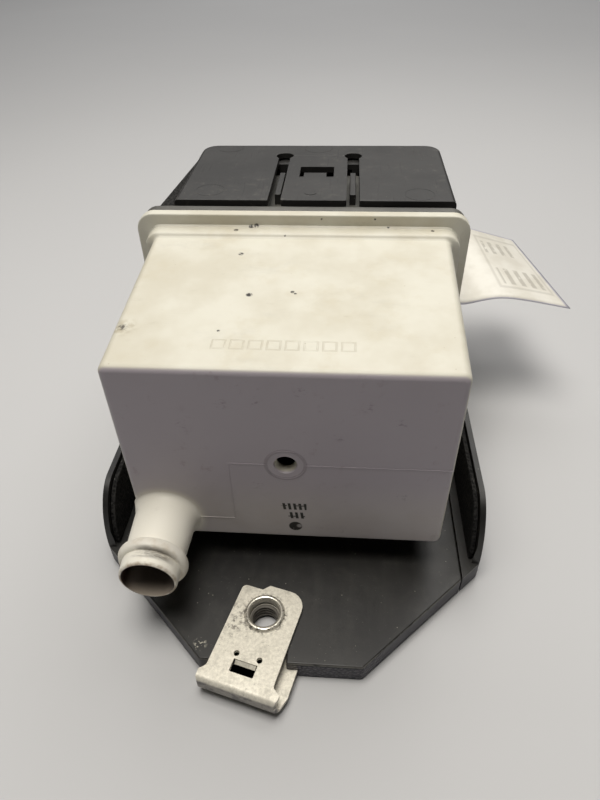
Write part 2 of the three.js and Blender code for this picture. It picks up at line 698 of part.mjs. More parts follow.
function rearRail() {
  const half = footX - seam / 2;
  const region = block(-half, half, footBack + seam / 2, farBack, 0, wallTop + 1);
  return common(join(baseSlab(), rim(0, base.wallThick, floorZ - rooted, wallTop)), region);
}

function railLining(side) {
  const outer = base.wallThick + seam;
  const band = rim(outer, outer + base.liningThick, floorZ + seam, wallTop - base.liningDrop);
  const half = footX - seam;
  if (side === 0) return common(band, block(-half, half, footBack, farBack, 0, wallTop));
  const [x0, x1] = side < 0 ? [-baseHalf, -half - seam] : [half + seam, baseHalf];
  const region = block(x0, x1, 0, farBack, 0, wallTop);
  return common(band, region, wallSide(base.liningDrop, base.liningDrop));
}

function coverPadSheet() {
  return block(
    duct.offset - coverPad.halfWidth,
    duct.offset + coverPad.halfWidth,
    coverY + 3,
    coverBack - 4,
    floorZ + seam,
    Math.min(floorZ + seam + coverPad.thick, coverBottom - seam),
  );
}

// ---------------------------------------------------------------- clip nut, drawn about the hole
const clipTop = floorZ + seam + clip.steel;
const clipLow = plateBottom - seam - clip.steel;

function clipFold() {
  const r = clip.foldRadius;
  const inner = r - clip.steel;
  const front = -clip.front;
  const shape = new THREE.Shape();
  shape.moveTo(clip.back + 1, clipTop);
  shape.lineTo(front + r, clipTop);
  shape.absarc(front + r, clipTop - r, r, Math.PI / 2, Math.PI);
  shape.absarc(front + r, clipLow + r, r, Math.PI, Math.PI * 1.5);
  shape.lineTo(clip.lowerBack, clipLow);
  shape.lineTo(clip.lowerBack, clipLow + clip.steel);
  shape.absarc(front + r, clipLow + r, inner, Math.PI * 1.5, Math.PI, true);
  shape.absarc(front + r, clipTop - r, inner, Math.PI, Math.PI / 2, true);
  shape.lineTo(clip.back + 1, clipTop - clip.steel);
  return alongX(shape, -20, 20);
}

function upperLeafPlan() {
  const shape = new THREE.Shape();
  const { flare, rearRound } = clip;
  shape.moveTo(-clip.foldLeft + 1.2, -clip.front - 1);
  shape.lineTo(clip.foldRight - 1.2, -clip.front - 1);
  shape.lineTo(clip.foldRight, -clip.neckY - flare - 1);
  shape.lineTo(clip.foldRight, -clip.neckY - flare);
  shape.lineTo(clip.right, -clip.neckY);
  shape.absarc(clip.right - rearRound, clip.back - rearRound - 0.4, rearRound, 0, Math.PI / 2);
  shape.lineTo(clip.right - 6, clip.back);
  shape.lineTo(-2, clip.back);
  shape.lineTo(-4.2, clip.back - clip.step);
  shape.absarc(-clip.left + 1.5, clip.back - clip.step - 1.5, 1.5, Math.PI / 2, Math.PI);
  shape.lineTo(-clip.left, -clip.neckY);
  shape.lineTo(-clip.foldLeft, -clip.neckY - flare);
  shape.lineTo(-clip.foldLeft, -clip.front + 0.8);
  return shape;
}

function lowerLeafPlan() {
  const shape = new THREE.Shape();
  shape.moveTo(-clip.foldLeft + 1.2, -clip.front - 1);
  shape.lineTo(clip.foldRight - 1.2, -clip.front - 1);
  shape.lineTo(clip.foldRight + 0.4, -clip.front + 1.6);
  shape.lineTo(clip.lowerRight, -clip.front + 4.6);
  shape.lineTo(clip.lowerRight, clip.lowerBack + 1);
  shape.lineTo(-clip.foldLeft, clip.lowerBack + 1);
  shape.lineTo(-clip.foldLeft, -clip.front + 0.8);
  return shape;
}

function springClip() {
  const middle = (clipTop + clipLow) / 2;
  const plan = join(
    upright(upperLeafPlan(), middle - 0.1, clipTop + 1),
    upright(lowerLeafPlan(), clipLow - 1, middle),
  );
  const barbTab = new THREE.BoxGeometry(clip.windowHalf * 2 - 0.8, 3.4, clip.steel * 0.8)
    .rotateX(THREE.MathUtils.degToRad(32))
    .translate(clip.windowX, -clip.windowNear - 1.1, clipTop - clip.steel / 2 - 0.8);
  const window = block(
    clip.windowX - clip.windowHalf,
    clip.windowX + clip.windowHalf,
    -clip.windowFar,
    -clip.windowNear,
    middle,
    clipTop + 1,
  );
  const raised = join(
    rodZ(clip.collarR, 0, 0, clipTop - clip.steel, clipTop + clip.collarTall, 32),
    rodZ(clip.collarR + 0.7, 0, 0, clipTop - clip.steel, clipTop + clip.collarTall * 0.35, 32),
  );
  const pilots = [-1, 1].map((side) =>
    rodZ(clip.pilotR, clip.windowX + side * clip.pilotHalf, -clip.pilotY, middle, clipTop + 1, 12),
  );
  const strip = cut(join(common(clipFold(), plan), raised), window, ...pilots);
  return cut(
    join(strip, barbTab),
    rodZ(clip.holeR, 0, 0, middle, clipTop + 3, 32),
    rodZ(nut.neckR + nut.neckPlay, 0, 0, clipLow - 1, middle, 32),
  );
}

function clipNut() {
  const top = floorZ - 0.6;
  return cut(
    join(
      rodZ(nut.rimR, 0, 0, clipLow - seam - nut.rimTall, clipLow - seam, 6),
      rodZ(nut.neckR, 0, 0, clipLow - seam - 0.5, top, 32),
    ),
    rodZ(nut.boreR, 0, 0, -1, top + 1, 32),
  );
}

// ---------------------------------------------------------------- paper tag on the cover's right flank
function tagSheet() {
  const flank = duct.offset + coverHalf.x + seam;
  const away = (x, y, z) => new THREE.Vector3(flank + x, coverY + y, boxZ + z);
  const front = new THREE.CatmullRomCurve3([
    away(0, 4.7, 17),
    away(0.1, 4.7, 8),
    away(1.6, 4.7, 1.4),
    away(7.4, 4.7, -2.6),
    away(22.5, 4.7, 0.2),
    away(46, 5.3, -3.9),
  ]);
  const rear = new THREE.CatmullRomCurve3([
    away(0, 48, 25),
    away(0.1, 48, 18),
    away(1.6, 48, 12),
    away(6, 48, 9),
    away(15, 48.2, 6.5),
    away(35.4, 55.8, -2),
  ]);
  const [along, across] = [20, 6];
  const grid = [];
  for (let i = 0; i <= along; i++)
    for (let j = 0; j <= across; j++) {
      const [a, b] = [front.getPoint(i / along), rear.getPoint(i / along)];
      const next = front.getPoint(Math.min(i + 1, along) / along).sub(front.getPoint(Math.max(i - 1, 0) / along));
      const normal = b.clone().sub(a).cross(next).normalize();
      grid.push({ point: a.lerp(b, j / across), normal });
    }
  const row = across + 1;
  const count = grid.length;
  const positions = [0, tagThick].flatMap((lift) =>
    grid.flatMap(({ point, normal }) => point.clone().addScaledVector(normal, -lift).toArray()),
  );
  const index = [];
  const quad = (a, b, c, d) => index.push(a, b, c, a, c, d);
  for (let i = 0; i < along; i++)
    for (let j = 0; j < across; j++) {
      const a = i * row + j;
      quad(a, a + 1, a + row + 1, a + row);
      quad(count + a, count + a + row, count + a + row + 1, count + a + 1);
    }
  const edge = [];
  for (let j = 0; j < across; j++) edge.push(j);
  for (let i = 0; i < along; i++) edge.push(i * row + across);
  for (let j = across; j > 0; j--) edge.push(along * row + j);
  for (let i = along; i > 0; i--) edge.push(i * row);
  edge.forEach((a, k) => {
    const b = edge[(k + 1) % edge.length];
    quad(b, a, count + a, count + b);
  });
  const geometry = new THREE.BufferGeometry();
  geometry.setAttribute("position", new THREE.Float32BufferAttribute(positions, 3));
  return geometry.setIndex(index);
}

// ---------------------------------------------------------------- the assembly
const vent = new THREE.Group();
vent.position.set(0, -originY, 0);

vent.add(
  mesh("vent_box", ventBox(), finish.whitePlastic),
  mesh("flange_gasket", flangeGasket(), finish.greyPlastic),
  mesh("mouth_frame", mouthFrame(), finish.greyPlastic),
  mesh("neck_seal", neckSealRing(), finish.foam),
  mesh("end_cover", endCover(), finish.blackPlastic),
  mesh("latch_tongue", latchTongue(), finish.blackPlastic),
  mesh("cover_side_seal", coverSideSeal(), finish.foam),
  mesh("inlet_grille", inletGrille(), finish.blackPlastic),
  mesh("filter_frame", filterFrame(), finish.greyPlastic),
  mesh("filter_pad", filterPad(), finish.filterFelt),
  mesh("valve_plate", valvePlate(), finish.whitePlastic),
  mesh("flap_pin", flapPin(), finish.springSteel),
  mesh("base_plate", basePlate(), finish.blackPlastic),
  mesh("base_pad", basePad(), finish.foam),
  mesh("side_rail_left", sideRail(-1), finish.blackPlastic),
  mesh("side_rail_right", sideRail(1), finish.blackPlastic),
  mesh("rear_rail", rearRail(), finish.blackPlastic),
  mesh("rail_lining_left", railLining(-1), finish.foam),
  mesh("rail_lining_right", railLining(1), finish.foam),
  mesh("rail_lining_rear", railLining(0), finish.foam),
  mesh("cover_pad", coverPadSheet(), finish.foam),
  mesh("tag", tagSheet(), finish.film),
);

const flapGroup = new THREE.Group();
flapGroup.add(
  mesh("valve_flap", valveFlap(), finish.blackPlastic),
  mesh("flap_seal", flapSeal(), finish.rubber),
  mesh("flap_spring", flapSpring(), finish.springSteel),
);
vent.add(flapGroup);

valveScrewPlaces().forEach(([x, z], i) => {
  const screw = mesh(`valve_screw_${i + 1}`, screwGeometry(smallScrew, smallScrew.length), finish.springSteel);
  screw.position.set(x, valveFace - smallScrew.seat - smallScrew.headTall, z);
  vent.add(screw);
});

bossPlaces().forEach(([x, y], i) => {
  const length = base.plateThick + coverBottom - floorZ + baseScrew.rise - seam;
  const screw = mesh(`base_screw_${i + 1}`, screwGeometry(baseScrew, length), finish.springSteel);
  screw.position.set(x, y, plateBottom - baseScrew.seat - baseScrew.headTall);
  screw.rotation.x = Math.PI / 2;
  vent.add(screw);
});

const clipGroup = new THREE.Group();
clipGroup.position.set(clip.x, clipY, 0);
clipGroup.rotation.z = THREE.MathUtils.degToRad(clip.turn);
clipGroup.add(mesh("spring_clip", springClip(), finish.zincSteel), mesh("clip_nut", clipNut(), finish.zincSteel));
vent.add(clipGroup);

export default vent;
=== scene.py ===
import json
import math
import bpy
import bmesh
from mathutils import Matrix, Vector


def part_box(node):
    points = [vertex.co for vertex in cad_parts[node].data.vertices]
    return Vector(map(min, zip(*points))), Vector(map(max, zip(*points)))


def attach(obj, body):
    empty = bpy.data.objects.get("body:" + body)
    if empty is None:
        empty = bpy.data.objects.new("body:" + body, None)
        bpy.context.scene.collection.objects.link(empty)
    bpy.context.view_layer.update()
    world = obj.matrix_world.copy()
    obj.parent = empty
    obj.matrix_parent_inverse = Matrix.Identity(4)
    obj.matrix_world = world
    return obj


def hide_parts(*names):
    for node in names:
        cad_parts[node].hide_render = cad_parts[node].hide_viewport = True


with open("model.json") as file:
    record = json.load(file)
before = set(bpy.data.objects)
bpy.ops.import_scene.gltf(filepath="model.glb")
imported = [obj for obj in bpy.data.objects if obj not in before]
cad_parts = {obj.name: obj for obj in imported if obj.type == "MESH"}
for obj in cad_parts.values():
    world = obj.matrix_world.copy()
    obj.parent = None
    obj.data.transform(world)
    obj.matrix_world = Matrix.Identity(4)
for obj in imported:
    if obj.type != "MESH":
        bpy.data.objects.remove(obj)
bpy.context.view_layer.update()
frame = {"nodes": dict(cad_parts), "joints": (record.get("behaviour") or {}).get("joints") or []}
mm = 0.001  # shapes are worked out in millimetres and scaled down when they are finished


def span(node):  # lowest and highest corner of a CAD node, in millimetres
    low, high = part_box(node)
    return low / mm, high / mm


ventLow, ventHigh = span("vent_box")
coverLow, coverHigh = span("end_cover")
frameLow, frameHigh = span("mouth_frame")
tongueLow, tongueHigh = span("latch_tongue")
plateLow, plateHigh = span("base_plate")
railLow, railHigh = span("side_rail_right")
padLow, padHigh = span("base_pad")
clipLow, clipHigh = span("spring_clip")
nutLow, nutHigh = span("clip_nut")
jointPlace = {joint["name"]: Vector(joint["pos_m"]) / mm for joint in frame["joints"]}
clipHole = jointPlace["clip_swivel"]
ventZ = (ventLow.z + ventHigh.z) / 2  # height of the box's middle
frontY = ventLow.y + 21.4  # front face of the box, behind the hose spigot
floorZ = plateHigh.z  # top of the base plate
ductX = (coverLow.x + coverHigh.x) / 2  # middle of the duct and its cover


# ---- mesh helpers

def loop(bm, halfX, halfZ, radius, y, x=0.0, z=0.0, steps=7):  # edges of a rounded rectangle that stands at y
    corners = [bm.verts.new((x + halfX * a, y, z + halfZ * b)) for a, b in ((-1, -1), (1, -1), (1, 1), (-1, 1))]
    bm.faces.new(corners)
    made = bmesh.ops.bevel(bm, geom=corners, offset=radius, offset_type="OFFSET", segments=steps, profile=0.5,
                           affect="VERTICES", material=-1, clamp_overlap=False)
    face = made["verts"][0].link_faces[0]
    edges = list(face.edges)
    bmesh.ops.delete(bm, geom=[face], context="FACES_ONLY")
    return edges


def skin(bm, loops, ends="capped"):  # faces from loop to loop; the ends are capped, open or joined
    pairs = list(zip(loops, loops[1:]))
    if ends == "joined":
        pairs.append((loops[-1], loops[0]))
    for first, second in pairs:
        bmesh.ops.bridge_loops(bm, edges=first + second)
    if ends == "capped":
        for end in (loops[0], loops[-1]):
            bmesh.ops.edgeloop_fill(bm, edges=end)
    bmesh.ops.recalc_face_normals(bm, faces=bm.faces)


def prism(bm, points, z0, z1, rounds=(), steps=6):  # outline in x, y raised from z0 to z1; rounds pairs corner and radius
    corners = [bm.verts.new((x, y, z0)) for x, y in points]
    face = bm.faces.new(corners)
    for index, radius in rounds:
        made = bmesh.ops.bevel(bm, geom=[corners[index]], offset=radius, offset_type="OFFSET", segments=steps,
                               profile=0.5, affect="VERTICES", material=-1, clamp_overlap=False)
        face = made["verts"][0].link_faces[0]
    raised = bmesh.ops.extrude_face_region(bm, geom=[face])["geom"]
    bmesh.ops.translate(bm, vec=(0, 0, z1 - z0), verts=[v for v in raised if isinstance(v, bmesh.types.BMVert)])
    bmesh.ops.recalc_face_normals(bm, faces=bm.faces)


def block(bm, x0, x1, y0, y1, z0, z1):
    made = bmesh.ops.create_cube(bm, size=1)["verts"]
    bmesh.ops.scale(bm, vec=(x1 - x0, y1 - y0, z1 - z0), verts=made)
    bmesh.ops.translate(bm, vec=((x0 + x1) / 2, (y0 + y1) / 2, (z0 + z1) / 2), verts=made)
    return made


def rod(bm, radius, length, place, axis="Z", sides=48):  # cylinder that starts at place and runs along the axis
    turn = {"X": Matrix.Rotation(math.pi / 2, 4, "Y"), "Y": Matrix.Rotation(-math.pi / 2, 4, "X"), "Z": Matrix()}[axis]
    shift = Matrix.Translation(Vector(place)) @ turn @ Matrix.Translation((0, 0, length / 2))
    return bmesh.ops.create_cone(bm, cap_ends=True, segments=sides, radius1=radius, radius2=radius, depth=length,
                                 matrix=shift)["verts"]


def spun(bm, profile, place, axis, sides=64):  # profile of (radius, distance along the axis), turned once round it
    start = {"Y": lambda r, t: (r, t, 0), "Z": lambda r, t: (r, 0, t)}[axis]
    verts = [bm.verts.new(Vector(place) + Vector(start(r, t))) for r, t in profile]
    edges = [bm.edges.new(pair) for pair in zip(verts, verts[1:])]
    if profile[0][0] > 0:
        edges.append(bm.edges.new((verts[-1], verts[0])))
    bmesh.ops.spin(bm, geom=verts + edges, cent=place, axis=(0, 1, 0) if axis == "Y" else (0, 0, 1),
                   angle=2 * math.pi, steps=sides, use_merge=True)
    bmesh.ops.remove_doubles(bm, verts=bm.verts, dist=1e-4)
    bmesh.ops.recalc_face_normals(bm, faces=bm.faces)


def arc(fromAngle, toAngle, count):  # angles in degrees, given back in radians
    return [math.radians(fromAngle + (toAngle - fromAngle) * i / count) for i in range(count + 1)]


def combined(bm, other, operation):  # boolean of two closed shapes: UNION, DIFFERENCE or INTERSECT
    objects = []
    for shape in (bm, other):
        mesh = bpy.data.meshes.new("work")
        shape.to_mesh(mesh)
        shape.free()
        objects.append(bpy.data.objects.new("work", mesh))
        bpy.context.scene.collection.objects.link(objects[-1])
    cut = objects[0].modifiers.new("cut", "BOOLEAN")
    cut.operation, cut.object, cut.solver = operation, objects[1], "EXACT"
    result = bmesh.new()
    result.from_object(objects[0], bpy.context.evaluated_depsgraph_get())
    for work in objects:
        bpy.data.meshes.remove(work.data)
    bmesh.ops.remove_doubles(result, verts=result.verts, dist=1e-4)
    return result


def joined(bm, other):  # both shapes in one mesh, as they stand
    mesh = bpy.data.meshes.new("work")
    other.to_mesh(mesh)
    other.free()
    bm.from_mesh(mesh)
    bpy.data.meshes.remove(mesh)
    return bm


def piece(name, bm, paint, body, nodes=(), edge=0.0, segments=2, sharp=32):  # the finished object, in metres
    bmesh.ops.recalc_face_normals(bm, faces=bm.faces)
    bmesh.ops.scale(bm, vec=(mm, mm, mm), verts=bm.verts)
    mesh = bpy.data.meshes.new(name)
    bm.to_mesh(mesh)
    bm.free()
    made = bpy.data.objects.new(name, mesh)
    bpy.context.scene.collection.objects.link(made)
    mesh.materials.append(paint)
    mesh.shade_smooth()
    if edge:
        rounding = made.modifiers.new("edges", "BEVEL")
        rounding.width, rounding.segments = edge * mm, segments
        rounding.limit_method, rounding.angle_limit = "ANGLE", math.radians(sharp)
        rounding.harden_normals = False
        weighted = made.modifiers.new("normals", "WEIGHTED_NORMAL")
        weighted.keep_sharp = True
    else:
        mesh.set_sharp_from_angle(angle=math.radians(sharp))
    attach(made, body)
    if nodes:
        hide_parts(*nodes)
    return made


def fromCad(node):  # a CAD node's shape as one clean surface, in millimetres
    bm = bmesh.new()
    bm.from_mesh(frame["nodes"][node].data)
    bmesh.ops.scale(bm, vec=(1 / mm,) * 3, verts=bm.verts)
    bmesh.ops.remove_doubles(bm, verts=bm.verts, dist=1e-3)
    bmesh.ops.dissolve_limit(bm, angle_limit=math.radians(1), verts=bm.verts, edges=bm.edges)
    return bm


# ---- paints

def tone(red, green, blue):  # a colour as it is seen, made linear
    return tuple(c / 255 / 12.92 if c <= 10 else ((c / 255 + 0.055) / 1.055) ** 2.4 for c in (red, green, blue)) + (1,)


class Value:  # a number in a paint's node tree; arithmetic on it adds Math nodes
    def __init__(self, paint, socket):
        self.paint, self.socket = paint, socket

    def __add__(self, other):
        return self.paint.math("ADD", self, other)

    def __sub__(self, other):
        return self.paint.math("SUBTRACT", self, other)

    def __rsub__(self, other):
        return self.paint.math("SUBTRACT", other, self)

    def __mul__(self, other):
        return self.paint.math("MULTIPLY", self, other)

    def __truediv__(self, other):
        return self.paint.math("DIVIDE", self, other)

    def __pow__(self, other):
        return self.paint.math("POWER", self, other)

    def __abs__(self):
        return self.paint.math("ABSOLUTE", self, 0)

    def highest(self, other):
        return self.paint.math("MAXIMUM", self, other)

    def lowest(self, other):
        return self.paint.math("MINIMUM", self, other)

    __radd__, __rmul__ = __add__, __mul__


class Paint:  # one material, with the nodes that make it
    def __init__(self, name):
        self.material = bpy.data.materials.new(name)
        self.material.use_nodes = True
        self.tree = self.material.node_tree
        self.tree.nodes.clear()
        self.shader = self.tree.nodes.new("ShaderNodeBsdfPrincipled")
        output = self.tree.nodes.new("ShaderNodeOutputMaterial")
        self.tree.links.new(self.shader.outputs[0], output.inputs[0])
        place = self.node("ShaderNodeTexCoord").outputs["Object"]
        self.place = self.node("ShaderNodeVectorMath", {"operation": "SCALE"}, {0: place, "Scale": 1 / mm}).outputs[0]
        split = self.node("ShaderNodeSeparateXYZ", {}, {0: self.place})
        self.x, self.y, self.z = (Value(self, split.outputs[i]) for i in range(3))

    def node(self, kind, settings=None, inputs=None):
        made = self.tree.nodes.new(kind)
        for key, value in (settings or {}).items():
            setattr(made, key, value)
        for key, value in (inputs or {}).items():
            self.feed(made.inputs[key], value)
        return made

    def feed(self, socket, value):
        if isinstance(value, Value):
            value = value.socket
        if isinstance(value, bpy.types.NodeSocket):
            self.tree.links.new(value, socket)
        else:
            socket.default_value = value

    def math(self, operation, first, second):
        return Value(self, self.node("ShaderNodeMath", {"operation": operation}, {0: first, 1: second}).outputs[0])

    def stretched(self, scale):
        return self.node("ShaderNodeMapping", {}, {"Vector": self.place, "Scale": scale}).outputs[0]

    def noise(self, size, detail=3.0, roughness=0.55, stretch=(1, 1, 1)):  # 0 to 1, features about size across
        wave = self.node("ShaderNodeTexNoise", {}, {"Vector": self.stretched(stretch), "Scale": 1 / size,
                                                    "Detail": detail, "Roughness": roughness})
        return Value(self, wave.outputs[0])

    def cells(self, size, feature="F1", randomness=1.0, stretch=(1, 1, 1)):  # distance to the nearest grain, in grains
        grain = self.node("ShaderNodeTexVoronoi", {"feature": feature}, {"Vector": self.stretched(stretch),
                                                    "Scale": 1 / size, "Randomness": randomness})
        return Value(self, grain.outputs[0])

    def step(self, value, low, high):  # 0 at low, 1 at high, smooth between
        ramp = self.node("ShaderNodeMapRange", {"interpolation_type": "SMOOTHSTEP"},
                         {"Value": value, "From Min": low, "From Max": high})
        return Value(self, ramp.outputs[0])

    def radius(self, x, z):  # distance from a line that runs front to back
        gap = self.node("ShaderNodeVectorMath", {"operation": "MULTIPLY"}, {0: self.place, 1: (1, 0, 1)}).outputs[0]
        length = self.node("ShaderNodeVectorMath", {"operation": "DISTANCE"}, {0: gap, 1: (x, 0, z)})
        return Value(self, length.outputs["Value"])

    def near(self, point, radius, soft=0.4):  # 1 within radius of a point
        gap = self.node("ShaderNodeVectorMath", {"operation": "DISTANCE"}, {0: self.place, 1: point})
        return self.step(Value(self, gap.outputs["Value"]), radius * (1 + soft), radius * (1 - soft))

    def within(self, axis, low, high, soft):  # 1 between two heights along an axis
        return self.step(axis, low - soft, low + soft) * self.step(axis, high + soft, high - soft)

    def mix(self, first, second, factor):
        made = self.node("ShaderNodeMix", {"data_type": "RGBA"}, {0: factor, 6: first, 7: second})
        return made.outputs[2]

    def bump(self, height, depth, under=None):  # height of 0 to 1 stands for depth in millimetres
        made = self.node("ShaderNodeBump", {}, {"Strength": 1.0, "Distance": depth * mm, "Height": height})
        if under is not None:
            self.feed(made.inputs["Normal"], under)
        return made.outputs[0]

    def finish(self, colour, roughness, normal=None, metallic=0.0, **fixed):
        values = {"Base Color": colour, "Roughness": roughness, "Metallic": metallic}
        if normal is not None:
            values["Normal"] = normal
        values.update({key.replace("_", " "): value for key, value in fixed.items()})
        for key, value in values.items():
            self.feed(self.shader.inputs[key], value)
        return self.material


ventBox = {
    "halfX": 42.75, "halfZ": 30.0, "mouthX": 44.95, "mouthZ": 32.2, "wall": 2.2, "corner": 2.2, "edge": 1.7,
    "depth": 62.9, "collar": 5.0, "collarX": 48.0, "collarZ": 33.4, "collarCorner": 5.0,
    "flangeCorner": 5.5, "flangeThick": 3.3, "lip": 0.45,
    "spigotX": -34.35, "spigotZ": 24.7, "rootR": 8.4, "noseR": 7.8, "tipR": 7.6, "beadR": 9.35, "boreR": 6.8, "fillet": 1.5,
    "beadY": 15.7, "beadHalf": 1.75, "tapR": 2.35, "tapLipR": 3.1, "tapLip": 1.3, "discR": 5.1, "discDeep": 0.2,
}

clip = {"steel": 1.0, "holeR": 4.05, "left": 9.05, "right": 9.3, "back": 8.6, "step": 1.8, "neck": 17.9, "flare": 1.4,
        "front": 22.0, "foldLeft": 10.5, "foldRight": 11.5, "foldR": 1.6, "lowRight": 12.8, "lowBack": 8.2,
        "collarR": 5.1, "collarTall": 1.0, "dome": 0.72, "windowX": 0.35, "windowHalf": 3.25, "windowNear": 14.1, "windowFar": 17.5,
        "pilotR": 0.78, "pilotHalf": 3.2, "pilotY": 12.6, "turn": -15.0, "nutNeck": 4.85}
clipTop = clipHigh.z - clip["collarTall"]
clipBottom = clipLow.z

boxMarks = {
    "specks": ((-16.4, -1.2, 78.6, 0.5), (-11.2, -22.7, 77.9, 0.55), (0.1, -21.0, 77.9, 0.35), (0.9, -21.8, 77.9, 0.25),
               (-19.6, 11.4, 80.2, 0.45), (-15.2, 13.6, 80.2, 0.5), (-13.6, 13.9, 80.5, 0.5), (26.4, 13.9, 80.3, 0.3),
               (39.5, 12.1, 80.2, 0.35), (6.3, 13.9, 82.8, 0.2), (22.3, 13.9, 82.9, 0.2), (-4.5, 8.9, 79.7, 0.2),
               (-16.6, -38.9, 77.3, 0.25)),  # x, y, z and radius of dirt on the top
    "stain": (-40.7, -38.3, 77.3), "stainR": 3.0,
    "stampX": 1.7, "stampRow": 30.6, "stampRows": 3.7, "stampTall": 1.3, "stampHalf": 3.5, "stampPitch": 1.45,
    "dotX": 2.0, "dotZ": 22.2, "dotRadius": 1.85,
    "codeX": -0.3, "codeY": -44.2, "codeHalf": 17.5, "codePitch": 4.4, "codeDeep": 1.9,
    "scuffs": ((19.9, 67.0), (4.3, 70.9), (-6.3, 67.8), (-14.7, 66.8), (-7.6, 38.8), (13.7, 57.4), (28.0, 62.0),
               (30.5, 36.0), (-25.0, 60.0)),  # x, z on the front face
}


